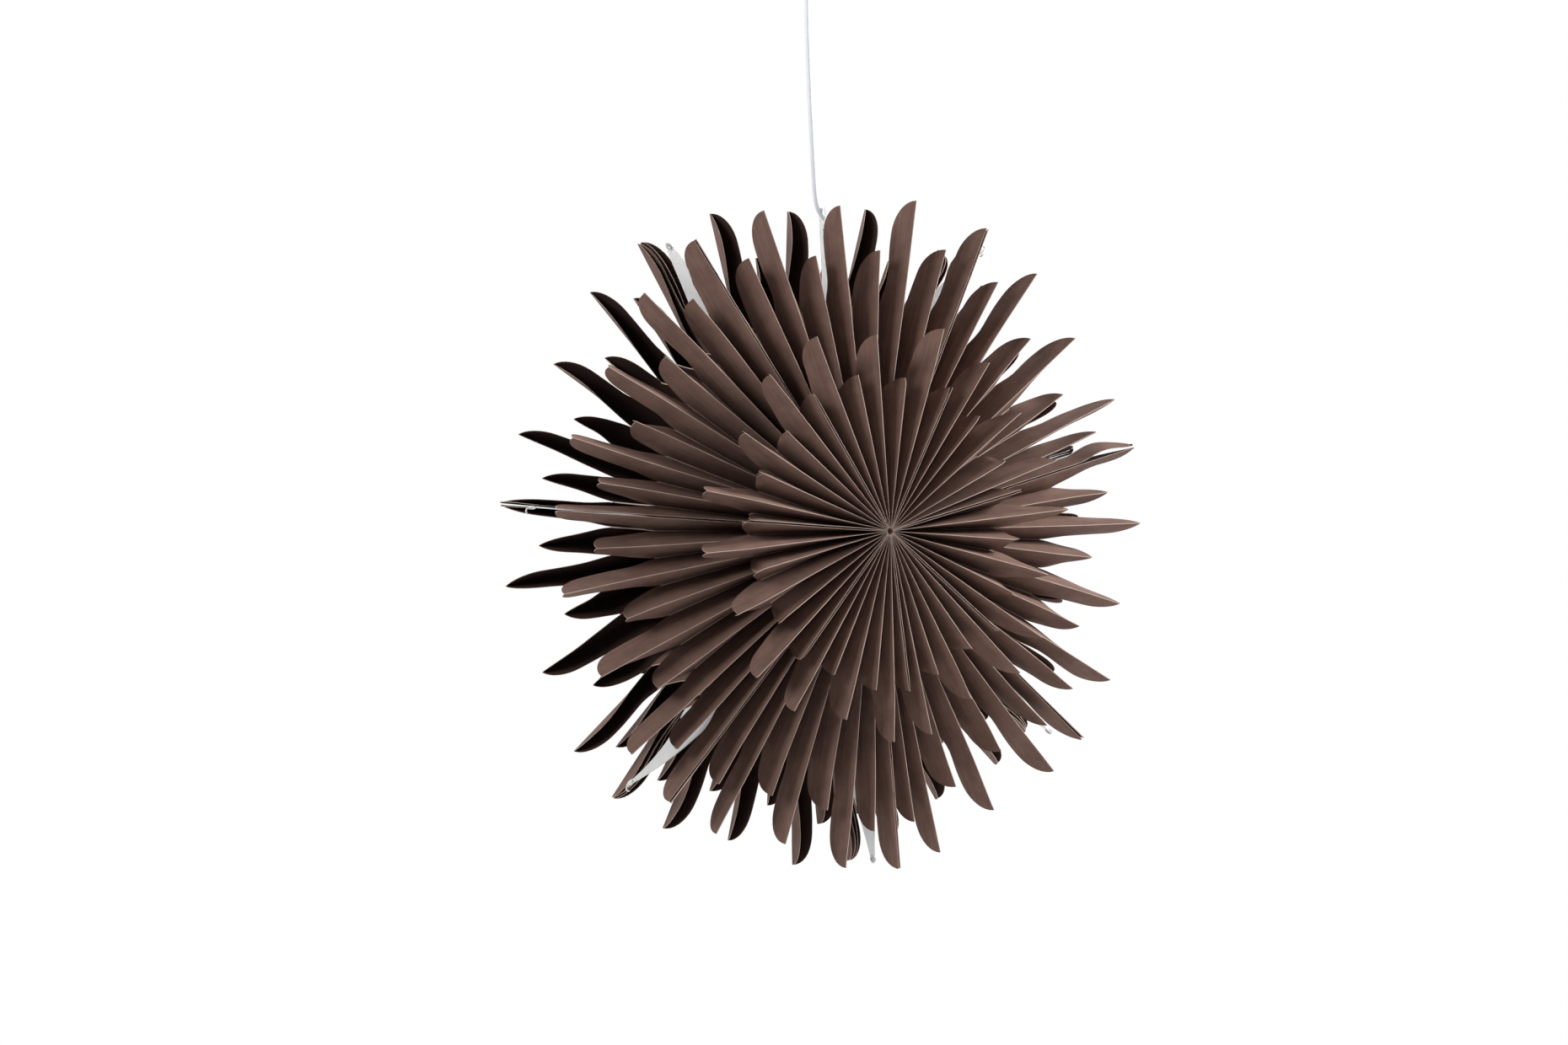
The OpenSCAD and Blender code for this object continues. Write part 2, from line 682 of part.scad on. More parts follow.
// Plate that is screwed to the ceiling: the cup slides over its rim
module ceiling_plate()
    color("#eeeeec")
        difference() {
            union() {
                translate([0, 0, -plate_t]) cylinder(h = plate_t, r = rim_r, $fn = 96);
                difference() {
                    translate([0, 0, -plate_t - rim_h]) cylinder(h = plate_t + rim_h, r = rim_r, $fn = 96);
                    translate([0, 0, -far])
                        cylinder(h = far - plate_t / 2, r = rim_r - rim_wall, $fn = 96);
                }
            }
            translate([0, 0, -plate_t - 1]) cylinder(h = plate_t + 2, d = wire_hole_d, $fn = 48);
            for (s = [-1, 1])
                translate([s * screw_pitch / 2, 0, -plate_t - 1])
                    cylinder(h = plate_t + 2, d = screw_hole_d, $fn = 48);
        }

module ceiling_cup() {
    r = cup_d / 2;
    color("#f3f3f1")
        difference() {
            rotate_extrude($fn = 96)
                polygon(concat(
                    [[r - cup_wall, -seat_gap], [r, -seat_gap]],
                    [for (t = [0:15:90]) [r - cup_round + cup_round * cos(t),
                        -cup_h + cup_round - cup_round * sin(t)]],
                    [[relief_neck_r + cord_clearance, -cup_h],
                        [relief_neck_r + cord_clearance, -cup_h + cup_wall]],
                    [for (t = [90:-15:0]) [r - cup_round + (cup_round - cup_wall) * cos(t),
                        -cup_h + cup_round - (cup_round - cup_wall) * sin(t)]]));
            for (s = [-1, 1])
                translate([0, s * r, -plate_t - rim_h / 2])
                    rotate([90, 0, 0])
                        cylinder(h = 4 * cup_wall, d = grub_d + 2 * cord_clearance, center = true, $fn = 32);
        }
}

// The two grub screws press on the rim of the plate
module grub_screws()
    color("#b9bbbe")
        for (s = [-1, 1])
            translate([0, s * (rim_r + grub_length / 2), -plate_t - rim_h / 2])
                rotate([90, 0, 0]) cylinder(h = grub_length, d = grub_d, center = true, $fn = 32);

module cup_relief()
    color("#f3f3f1")
        rotate_extrude($fn = 64)
            polygon([[cord_bore, -cup_h + cup_wall + nut_t + 1], [relief_neck_r, -cup_h + cup_wall + nut_t + 1],
                [relief_neck_r, -cup_h - seat_gap], [relief_flange_r, -cup_h - seat_gap],
                [relief_flange_r, -cup_h - relief_flange_t], [cord_bore + relief_wall, -cup_h - cup_relief_length],
                [cord_bore, -cup_h - cup_relief_length]]);

module relief_nut()
    color("#f3f3f1")
        translate([0, 0, -cup_h + cup_wall + seat_gap])
            difference() {
                cylinder(h = nut_t, r = relief_flange_r, $fn = 6);
                translate([0, 0, -1]) cylinder(h = nut_t + 2, r = relief_neck_r + cord_clearance, $fn = 48);
            }

module terminal_block()
    color("#e8e6e0")
        difference() {
            translate([-terminal[0] / 2, wire_hole_d / 2 + 1, -plate_t - seat_gap - terminal[2]])
                cube(terminal);
            for (s = [-1, 1])
                translate([s * terminal[0] / 4, wire_hole_d / 2, -plate_t - seat_gap - terminal[2] / 2])
                    rotate([-90, 0, 0]) cylinder(h = terminal[1] + 2, d = terminal_bore_d, $fn = 24);
        }

pack(0);  // pack_1
pack(1);  // pack_2
pack(2);  // pack_3
pack(3);  // pack_4
pack(4);  // pack_5
pack(5);  // pack_6
pack(6);  // pack_7
front_leaves(0);  // front_leaves_1
front_leaves(1);  // front_leaves_2
front_leaves(2);  // front_leaves_3
front_leaves(3);  // front_leaves_4
front_leaves(4);  // front_leaves_5
front_leaves(5);  // front_leaves_6
front_leaves(6);  // front_leaves_7
back_leaves(0);  // back_leaves_1
back_leaves(1);  // back_leaves_2
back_leaves(2);  // back_leaves_3
back_leaves(3);  // back_leaves_4
back_leaves(4);  // back_leaves_5
back_leaves(5);  // back_leaves_6
back_leaves(6);  // back_leaves_7
card(0);  // card_1
card(1);  // card_2
card(2);  // card_3
card(3);  // card_4
card(4);  // card_5
card(5);  // card_6
card(6);  // card_7
closing_hooks();
card_eyelets();
elastic_loop();
hanging_strip();
lamp_holder();
holder_cap();
holder_relief();
socket_core();
socket_sleeve();
centre_contact();
bulb();
cord();
ceiling_plate();
ceiling_cup();
grub_screws();
cup_relief();
relief_nut();
terminal_block();
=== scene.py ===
"""Paper star lamp: folded brown leaves round a level axis, hung by a white flex."""
import logging
import math
from collections.abc import Callable
from dataclasses import dataclass, field, replace
from enum import Enum

import bpy
import numpy as np
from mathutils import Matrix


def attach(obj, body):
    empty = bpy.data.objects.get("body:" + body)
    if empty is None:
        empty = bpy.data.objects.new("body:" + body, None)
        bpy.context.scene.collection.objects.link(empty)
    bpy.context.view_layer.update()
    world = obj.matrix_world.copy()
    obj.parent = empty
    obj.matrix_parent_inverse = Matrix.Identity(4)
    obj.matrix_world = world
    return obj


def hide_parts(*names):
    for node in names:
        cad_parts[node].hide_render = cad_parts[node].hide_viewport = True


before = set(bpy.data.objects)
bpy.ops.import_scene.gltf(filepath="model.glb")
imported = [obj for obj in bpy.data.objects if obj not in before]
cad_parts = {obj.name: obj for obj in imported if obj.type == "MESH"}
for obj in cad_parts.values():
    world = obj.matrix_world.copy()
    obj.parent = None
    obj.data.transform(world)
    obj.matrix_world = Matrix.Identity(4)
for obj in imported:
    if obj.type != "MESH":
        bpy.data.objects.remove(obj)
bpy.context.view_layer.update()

LOG = logging.getLogger("paper_star_lamp")
MM = 0.001
WHITE = (1.0, 1.0, 1.0, 1.0)
PLAIN = 20.0  # distance from a fold, in millimetres, at which paper shows no crack
SLOPES = (0.03, 0.8)  # least and most sine of a folded face's slope
Array = np.ndarray
Material = bpy.types.Material
Piece = bpy.types.Object
Socket = bpy.types.NodeSocket
Tree = bpy.types.NodeTree


def smooth(x: Array) -> Array:
    """S-shaped step: 3x^2 - 2x^3 between 0 and 1, flat outside.

    Args:
        x: Values of any shape.

    Returns:
        The step at each value.
    """
    x = np.clip(x, 0.0, 1.0)
    return x * x * (3.0 - 2.0 * x)


class PaperMesh:
    """Collects closed sheets of paper as whole arrays and makes one mesh of them.

    The map named paper holds millimetres: U runs along a leaf, and V is the distance from its fold,
    positive on the outside, negative on the inside and CUT_EDGE on the cut edges.
    """

    CUT_EDGE = 200.0

    def __init__(self) -> None:
        """Starts with no sheet."""
        self.points: list[Array] = []
        self.faces: list[Array] = []
        self.marks: list[Array] = []
        self.count = 0

    def add(self, outer: Array, inner: Array, marks: Array) -> None:
        """Adds one sheet: two grids of the same shape, joined round their rim.

        Args:
            outer: Points of the outer side, n by m by 3, in millimetres.
            inner: Points of the inner side, laid out as the outer side.
            marks: Millimetres along the leaf and from its fold, n by m by 2.
        """
        n, m = outer.shape[:2]
        index = np.arange(n * m).reshape(n, m) + self.count
        quads = np.stack([index[:-1, :-1], index[1:, :-1], index[1:, 1:], index[:-1, 1:]], -1).reshape(-1, 4)
        ring = np.concatenate([index[:-1, 0], index[-1, :-1], index[:0:-1, -1], index[0, :0:-1]])
        ahead = np.roll(ring, -1)
        far = n * m
        rim = np.stack([ahead, ring, ring + far, ahead + far], -1)
        back = quads[:, ::-1] + far
        along = outer[1:, :-1] - outer[:-1, :-1]
        across = outer[:-1, 1:] - outer[:-1, :-1]
        facing = np.sum(np.cross(along, across) * (outer - inner)[:-1, :-1])
        faces = np.concatenate([quads, back, rim])
        if facing < 0:
            faces = faces[:, ::-1]
        flat = marks.reshape(-1, 2)
        hidden = flat * np.array([1.0, -1.0]) - np.array([0.0, 0.02])
        both = np.concatenate([flat, hidden])
        corner = both[faces - self.count]
        edge = np.zeros(len(faces), bool)
        edge[2 * len(quads):] = True
        corner[edge, :, 1] = self.CUT_EDGE
        self.points.append(np.concatenate([outer.reshape(-1, 3), inner.reshape(-1, 3)]))
        self.faces.append(faces)
        self.marks.append(corner.reshape(-1, 2))
        self.count += 2 * far

    def build(self, name: str, crease: float = 38.0) -> Piece:
        """Makes the object, in metres, with its edges sharp where faces meet steeply.

        Args:
            name: Name of the piece.
            crease: Angle in degrees past which an edge is sharp.

        Returns:
            The new object, linked to the scene.
        """
        points = np.concatenate(self.points) * MM
        faces = np.concatenate(self.faces)
        mesh = bpy.data.meshes.new(name)
        mesh.vertices.add(len(points))
        mesh.vertices.foreach_set("co", points.astype(np.float32).ravel())
        mesh.loops.add(faces.size)
        mesh.loops.foreach_set("vertex_index", faces.astype(np.int32).ravel())
        mesh.polygons.add(len(faces))
        mesh.polygons.foreach_set("loop_start", np.arange(0, faces.size, 4, dtype=np.int32))
        layer = mesh.uv_layers.new(name="paper")
        layer.data.foreach_set("uv", np.concatenate(self.marks).astype(np.float32).ravel())
        mesh.update(calc_edges=True)
        mesh.validate()
        mesh.polygons.foreach_set("use_smooth", np.ones(len(mesh.polygons), bool))
        mesh.set_sharp_from_angle(angle=math.radians(crease))
        piece = bpy.data.objects.new(name, mesh)
        bpy.context.scene.collection.objects.link(piece)
        return piece


def ring_faces(rings: int, sides: int) -> Array:
    """Faces of a row of rings, with a middle point at each end that follows all the rings' points.

    Args:
        rings: Number of rings.
        sides: Corners of each ring.

    Returns:
        The faces as rows of four indices; a doubled last index is a triangle.
    """
    index = np.arange(rings * sides).reshape(rings, sides)
    after = np.roll(index, -1, axis=1)
    wall = np.stack([index[:-1], after[:-1], after[1:], index[1:]], -1).reshape(-1, 4)
    first = np.stack([np.full(sides, index.size), after[0], index[0], index[0]], -1)
    last = np.stack([np.full(sides, index.size + 1), index[-1], after[-1], after[-1]], -1)
    return np.concatenate([wall, first, last])


def tube(path: Array, radius: float, sides: int) -> tuple[Array, Array]:
    """Round tube along a path, with closed ends.

    Each ring is path + radius * (cos t * u + sin t * v), where u and v stand square to the path's own
    direction and u lies in the plane square to a fixed side axis.

    Args:
        path: Points of the middle line, n by 3.
        radius: Radius of the tube.
        sides: Corners of each ring.

    Returns:
        The points, and the faces as rows of four indices.
    """
    way = np.gradient(path, axis=0)
    way /= np.linalg.norm(way, axis=1, keepdims=True)
    side = np.array([0.0, 1.0, 0.0])
    u = np.cross(way, side)
    u /= np.linalg.norm(u, axis=1, keepdims=True)
    v = np.cross(way, u)
    t = np.linspace(0.0, 2.0 * math.pi, sides, endpoint=False)
    cos, sin = np.cos(t)[None, :, None], np.sin(t)[None, :, None]
    rings = path[:, None] + radius * (cos * u[:, None] + sin * v[:, None])
    return np.concatenate([rings.reshape(-1, 3), path[[0, -1]]]), ring_faces(len(path), sides)


def mesh_piece(name: str, points: Array, faces: Array, crease: float = 50.0) -> Piece:
    """Makes an object from points in metres and the faces of ring_faces.

    Args:
        name: Name of the piece.
        points: Points, n by 3.
        faces: Indices, m by 4.
        crease: Angle in degrees past which an edge is sharp.

    Returns:
        The new object, linked to the scene.
    """
    rows = [row[:3] if row[2] == row[3] else row for row in faces.tolist()]
    mesh = bpy.data.meshes.new(name)
    mesh.from_pydata(points.tolist(), [], rows)
    mesh.validate()
    mesh.polygons.foreach_set("use_smooth", np.ones(len(mesh.polygons), bool))
    mesh.set_sharp_from_angle(angle=math.radians(crease))
    piece = bpy.data.objects.new(name, mesh)
    bpy.context.scene.collection.objects.link(piece)
    return piece


def linear(code: str) -> tuple[float, float, float, float]:
    """Turns an sRGB hex colour to linear.

    Args:
        code: Six hex digits after a #.

    Returns:
        Red, green, blue and alpha.
    """
    parts = [int(code[i:i + 2], 16) / 255.0 for i in (1, 3, 5)]
    red, green, blue = (c / 12.92 if c <= 0.04045 else ((c + 0.055) / 1.055) ** 2.4 for c in parts)
    return red, green, blue, 1.0


def put(tree: Tree, kind: str, links: dict | None = None, **settings: object) -> bpy.types.Node:
    """Adds one node with its settings and links.

    Args:
        tree: Node tree of the material or world.
        kind: Blender's name of the node type.
        links: Input, by name or number, to the output socket that feeds it or to a plain value.
        settings: Properties of the node itself.

    Returns:
        The new node.
    """
    node = tree.nodes.new(kind)
    for key, value in settings.items():
        setattr(node, key, value)
    for key, value in (links or {}).items():
        if isinstance(value, Socket):
            tree.links.new(value, node.inputs[key])
        else:
            node.inputs[key].default_value = value
    return node


def noise(tree: Tree, vector: Socket, scale: float, detail: float, rough: float = 0.5) -> Socket:
    """Adds a noise texture.

    Args:
        tree: Node tree of the material.
        vector: Where it is read.
        scale: Its waves per unit of the vector.
        detail: Its octaves.
        rough: Share of each finer octave.

    Returns:
        Its grey value.
    """
    links = {"Vector": vector, "Scale": scale, "Detail": detail, "Roughness": rough}
    return put(tree, "ShaderNodeTexNoise", links).outputs["Fac"]


def to_range(tree: Tree, value: Socket, low: float, high: float,
             span: tuple[float, float] = (0.3, 0.7)) -> Socket:
    """Maps the span of a value, which for a noise is 0.3 to 0.7, to a range.

    Args:
        tree: Node tree of the material or world.
        value: The value.
        low: Result at the start of the span.
        high: Result at its end.
        span: The span.

    Returns:
        The mapped value.
    """
    links = {"Value": value, "From Min": span[0], "From Max": span[1], "To Min": low, "To Max": high}
    return put(tree, "ShaderNodeMapRange", links).outputs["Result"]


def two_tone(tree: Tree, value: Socket, low: str, high: str, start: float) -> Socket:
    """Blends two colours by a value, from the first at start to the second at 0.62.

    Args:
        tree: Node tree of the material.
        value: The value.
        low: First colour, as sRGB hex.
        high: Second colour.
        start: Value at which the blend starts.

    Returns:
        The colour.
    """
    ramp = put(tree, "ShaderNodeValToRGB", {"Fac": value})
    for point, at, code in zip(ramp.color_ramp.elements, (start, 0.62), (low, high)):
        point.position = at
        point.color = linear(code)
    return ramp.outputs["Color"]


def maths(tree: Tree, operation: str, *values: Socket | float) -> Socket:
    """Adds a sum of two values.

    Args:
        tree: Node tree of the material or world.
        operation: Blender's name of the sum.
        values: The two values.

    Returns:
        Its result.
    """
    return put(tree, "ShaderNodeMath", dict(enumerate(values)), operation=operation).outputs[0]


class Grain(Enum):
    """How the surface of a plain finish was made, which sets its pattern."""

    MOULDED = "moulded"
    ENAMELLED = "enamelled"
    DRAWN = "drawn"
    BRAIDED = "braided"
    CARD = "card"
    FIRED = "fired"


@dataclass(frozen=True)
class PlainFinish:
    """A finish of one colour with the small unevenness that its making leaves.

    Attributes:
        name: Common name of the real finish.
        colour: Its colour, as sRGB hex.
        shade: Its darker tone, as sRGB hex.
        grain: How the surface was made.
        grain_mm: Size of its pattern.
        roughness: Mean roughness.
        metallic: 1 for bare metal.
        depth_mm: Depth of its bump.
        coat: Weight of a clear top layer.
        through: Share of light that passes, as in thin card and opal glass.
        gloss: Level of the mirror part of the surface; 0.5 is plain plastic.
    """

    name: str
    colour: str
    shade: str
    grain: Grain
    grain_mm: float
    roughness: float
    metallic: float = 0.0
    depth_mm: float = 0.02
    coat: float = 0.0
    through: float = 0.0
    gloss: float = 0.5

    def make(self) -> Material:
        """Builds the material.

        Returns:
            The material.
        """
        material = bpy.data.materials.new(self.name)
        material.use_nodes = True
        tree = material.node_tree
        tree.nodes.clear()
        place = put(tree, "ShaderNodeTexCoord").outputs["Object"]
        along = {Grain.DRAWN: 0.08, Grain.BRAIDED: 0.5}.get(self.grain, 1.0)
        spot = put(tree, "ShaderNodeMapping", {"Vector": place, "Scale": (1.0, 1.0, along)}).outputs["Vector"]
        per_m = 1000.0 / self.grain_mm
        fine = noise(tree, spot, per_m, 4.0, 0.55)
        broad = noise(tree, place, per_m / 12.0, 3.0)
        height = fine
        if self.grain is Grain.BRAIDED:
            weave = put(tree, "ShaderNodeTexWave", {"Vector": place, "Scale": per_m / 6.0, "Distortion": 1.5},
                        wave_type="BANDS", bands_direction="DIAGONAL")
            height = weave.outputs["Fac"]
        both = put(tree, "ShaderNodeMix", {0: 0.4, 2: broad, 3: fine}).outputs[0]
        tone = two_tone(tree, both, self.shade, self.colour, 0.3)
        rough = to_range(tree, fine, self.roughness - 0.06, self.roughness + 0.06)
        bump = put(tree, "ShaderNodeBump",
                   {"Height": height, "Strength": 0.6, "Distance": self.depth_mm * MM})
        skin = put(tree, "ShaderNodeBsdfPrincipled", {
            "Base Color": tone, "Roughness": rough,
            "Normal": bump.outputs["Normal"], "Metallic": self.metallic, "Coat Weight": self.coat,
            "Coat Roughness": 0.12, "Specular IOR Level": self.gloss})
        surface = skin.outputs["BSDF"]
        if self.through > 0.0:
            glow = put(tree, "ShaderNodeBsdfTranslucent", {"Color": linear(self.colour)})
            surface = put(tree, "ShaderNodeMixShader",
                          {0: self.through, 1: surface, 2: glow.outputs["BSDF"]}).outputs["Shader"]
        put(tree, "ShaderNodeOutputMaterial", {"Surface": surface})
        return material


@dataclass(frozen=True)
class FoldedPaper:
    """Dyed uncoated paper of 180 g/m2: matt, with a lighter line where the fold cracked its dyed face.

    Attributes:
        name: Common name of the real finish.
        outside: Colour of the outer face.
        outside_low: Its darker mottle.
        inside: Colour of the inner face, darker than the outer as painted shade of the folds' hollows.
        worn: Colour of the cracked fold and of the cut edge.
        fold_mm: Half width of the cracked line along a fold.
    """

    name: str = "dyed uncoated paper, folded"
    outside: str = "#7c6359"
    outside_low: str = "#6a534b"
    # darker inner colour: painted shade of the folds' hollows, close to the shaded tone seen there
    inside: str = "#3a2b27"
    worn: str = "#c9b4a8"
    fold_mm: float = 0.42

    def make(self) -> Material:
        """Builds the material from the paper map.

        Returns:
            The material.
        """
        material = bpy.data.materials.new(self.name)
        material.use_nodes = True
        tree = material.node_tree
        tree.nodes.clear()
        place = put(tree, "ShaderNodeTexCoord").outputs["Object"]
        sheet = put(tree, "ShaderNodeUVMap", uv_map="paper").outputs["UV"]
        split = put(tree, "ShaderNodeSeparateXYZ", {"Vector": sheet})
        across = split.outputs["Y"]
        # pulp clouds of 20 mm and of 5 mm, and fibres drawn 0.8 mm long, as they are too fine to show
        cloud = noise(tree, place, 50.0, 4.0, 0.6)
        fibre = noise(tree, place, 1250.0, 3.0, 0.7)
        # rubbed streaks along the leaf, 60 mm long and 3 mm wide
        along = put(tree, "ShaderNodeMapping", {"Vector": sheet, "Scale": (1.0 / 60.0, 1.0 / 3.0, 1.0)})
        streak = noise(tree, along.outputs["Vector"], 1.0, 3.0)
        mixed = put(tree, "ShaderNodeMix", {0: 0.45, 2: cloud, 3: streak}).outputs[0]
        tone = two_tone(tree, mixed, self.outside_low, self.outside, 0.38)
        # the inner face takes the darker inside colour, which is painted shade of the folds' hollows
        inner = maths(tree, "LESS_THAN", across, -0.001)
        sided_with_painted_shade = put(tree, "ShaderNodeMix", {0: inner, 6: tone, 7: linear(self.inside)}, data_type="RGBA")
        # the crack's width wanders with the fibres along it
        wander = to_range(tree, streak, 0.5 * self.fold_mm, 1.5 * self.fold_mm)
        outer = maths(tree, "GREATER_THAN", across, -0.001)
        fold = maths(tree, "MULTIPLY", outer, maths(tree, "LESS_THAN", across, wander))
        worn = maths(tree, "MAXIMUM", fold, maths(tree, "GREATER_THAN", across, 0.75 * PaperMesh.CUT_EDGE))
        faint = maths(tree, "MULTIPLY", worn, 0.75)
        colour = put(tree, "ShaderNodeMix", {0: faint, 6: sided_with_painted_shade.outputs[2], 7: linear(self.worn)},
                     data_type="RGBA")
        bump = put(tree, "ShaderNodeBump", {"Height": fibre, "Strength": 0.5, "Distance": 0.05 * MM})
        soft = put(tree, "ShaderNodeBump", {"Height": streak, "Strength": 0.4, "Distance": 0.4 * MM,
                                            "Normal": bump.outputs["Normal"]})
        skin = put(tree, "ShaderNodeBsdfPrincipled", {
            "Base Color": colour.outputs[2], "Roughness": to_range(tree, fibre, 0.62, 0.82),
            "Normal": soft.outputs["Normal"], "Specular IOR Level": 0.1})
        put(tree, "ShaderNodeOutputMaterial", {"Surface": skin.outputs["BSDF"]})
        return material


PAPER = FoldedPaper()
CARD = PlainFinish("smooth bleached card", "#fbfbfb", "#f2f3f4", Grain.CARD, 1.2, 0.55,
                   depth_mm=0.006, through=0.12)
WIRE = PlainFinish("white coated wire", "#ecebe8", "#d9d7d2", Grain.DRAWN, 0.8, 0.4)
NICKEL = PlainFinish("nickel plated steel, pressed", "#b9b9b6", "#9c9c99", Grain.DRAWN, 0.6, 0.28,
                     metallic=1.0)
ELASTIC = PlainFinish("braided black elastic", "#1d1d1f", "#0e0e10", Grain.BRAIDED, 1.0, 0.8, depth_mm=0.05,
                      gloss=0.08)
SHEATH = PlainFinish("white soft cable sheath, extruded", "#eceff4", "#e3e7ee", Grain.MOULDED, 1.5, 0.38,
                     depth_mm=0.01)
PLASTIC = PlainFinish("white moulded thermoplastic", "#efeeea", "#e6e4de", Grain.MOULDED, 0.9, 0.34)
ENAMEL = PlainFinish("white stove enamel on steel", "#f2f1ee", "#eae8e4", Grain.ENAMELLED, 1.6, 0.26,
                     depth_mm=0.015, coat=0.3)
CERAMIC = PlainFinish("unglazed porcelain, fired", "#e7e3d9", "#d8d2c4", Grain.FIRED, 0.7, 0.7, depth_mm=0.04)
BRASS = PlainFinish("pressed brass sheet", "#c9a45c", "#a9843f", Grain.DRAWN, 0.8, 0.3, metallic=1.0)
OPAL = PlainFinish("opal glass, blown", "#faf8f2", "#f3f0e7", Grain.FIRED, 3.0, 0.18,
                   depth_mm=0.005, through=0.25)
ZINC = PlainFinish("zinc plated steel, turned", "#a8abb0", "#8d9096", Grain.DRAWN, 0.5, 0.35, metallic=1.0)


class Finishes:
    """Makes each finish once and hands it out."""

    def __init__(self) -> None:
        """Starts with no finish made."""
        self.made: dict[str, Material] = {}

    def of(self, finish: PlainFinish | FoldedPaper) -> Material:
        """Gives the material of a finish.

        Args:
            finish: The finish.

        Returns:
            Its material, made at the first call.
        """
        if finish.name not in self.made:
            self.made[finish.name] = finish.make()
        return self.made[finish.name]

    def dress(self, piece: Piece, finish: PlainFinish | FoldedPaper) -> None:
        """Puts one finish on every slot of a piece.

        Args:
            piece: A new piece or a CAD node.
            finish: The finish.
        """
        material = self.of(finish)
        if not piece.data.materials:
            piece.data.materials.append(material)
        for slot in piece.material_slots:
            slot.material = material


@dataclass(frozen=True)
class StarPlan:
    """Sizes that the packs, the pole leaves and the cards share, in millimetres and degrees."""

    centre: tuple[float, float, float] = (22.0, 0.0, -540.0)
    seams: tuple[float, ...] = (15, 62, 123, 176, 231, 279, 322, 375)
    lean: tuple[float, ...] = (-0.3, 1.4, 0.3, 0.5, -0.1, -0.9, -0.4, -0.3)
    fingers: tuple[tuple[float, ...], ...] = (
        (14.7, 19.4, 23.9, 29.7, 37.3, 44.3, 51.2, 57.2, 63.4),
        (63.4, 70.5, 78.3, 85.7, 94.0, 101.0, 109.1, 115.6, 123.3),
        (123.3, 129.6, 136.1, 142.8, 150.4, 157.2, 164.6, 170.7, 176.5),
        (176.5, 183.4, 190.1, 197.4, 205.6, 213.6, 220.3, 225.9, 230.9),
        (230.9, 236.4, 241.4, 248.2, 254.4, 261.6, 267.8, 273.4, 278.1),
        (278.1, 282.2, 286.4, 293.2, 299.8, 307.0, 313.2, 317.9, 321.6),
        (321.6, 327.9, 333.2, 339.8, 346.8, 354.2, 361.2, 367.8, 374.7))
    ridge_height: float = 78.0
    ridge_fall: float = 25.0 / 298.0
    seam_half: float = 0.7
    seam_opens: float = 30.0
    paper: float = 0.45
    bulge: float = 0.07
    crown: float = 0.3
    notch_r: float = 199.0
    hollow_r: float = 85.0

    def ridges(self, k: int, gaps: int, pole: int) -> Array:
        """Angles of the ridges of pack k: the finger angles at even shares of the pack.

        The packs are twisted by hand, so the back ridges lie behind the front ones by twice the lean.

        Args:
            k: Number of the pack.
            gaps: Gaps between its ridges.
            pole: -1 for the front pole and 1 for the back one.

        Returns:
            The angles in degrees, gaps + 1 of them.
        """
        share = np.linspace(0.0, 1.0, gaps + 1)
        front = np.interp(share * 8.0, np.arange(9), self.fingers[k])
        lag = 2.0 * (self.lean[k] + (self.lean[k + 1] - self.lean[k]) * share)
        return front - lag * (pole > 0)

    def ridge(self, r: Array) -> Array:
        """Height of the finger ridges at radius r, a straight line that falls outwards."""
        return self.ridge_height - r * self.ridge_fall

    def place(self, angle: float | Array, r: Array, side: Array, height: Array, pole: int) -> Array:
        """Turns leaf coordinates to the row frame.

        A point is centre + r * (cos a, 0, sin a) + side * (-sin a, 0, cos a) + height * (0, pole, 0).

        Args:
            angle: Angle of the leaf round the axis, in degrees.
            r: Distance from the axis along the leaf.
            side: Distance to the side of the leaf.
            height: Height above the star's middle plane.
            pole: -1 for the front pole and 1 for the back one.

        Returns:
            The points, with a last axis of 3.
        """
        a = np.radians(angle)
        x = self.centre[0] + r * np.cos(a) - side * np.sin(a)
        y = self.centre[1] + pole * height
        z = self.centre[2] + r * np.sin(a) + side * np.cos(a)
        return np.stack(np.broadcast_arrays(x, y, z), -1)

    def sheet(self, mesh: PaperMesh, angle: float | Array, r: Array, low: float | Array, thick: float,
              height: Array, pole: int, fold: float | Array = PLAIN) -> None:
        """Adds a flat sheet beside its angle.

        Args:
            mesh: Where it is added.
            angle: Angle round the axis, in degrees.
            r: Distances from the axis.
            low: Distance of its first side from the angle.
            thick: Distance from there to its second side, with its sign.
            height: Heights above the star's middle plane.
            pole: -1 for the front pole and 1 for the back one.
            fold: Mark for the distance from the fold.
        """
        r, height, fold = np.broadcast_arrays(r, height, fold)
        near, far = (self.place(angle, r, side, height, pole) for side in (low, low + thick))
        mesh.add(near, far, np.stack([r, fold], -1))


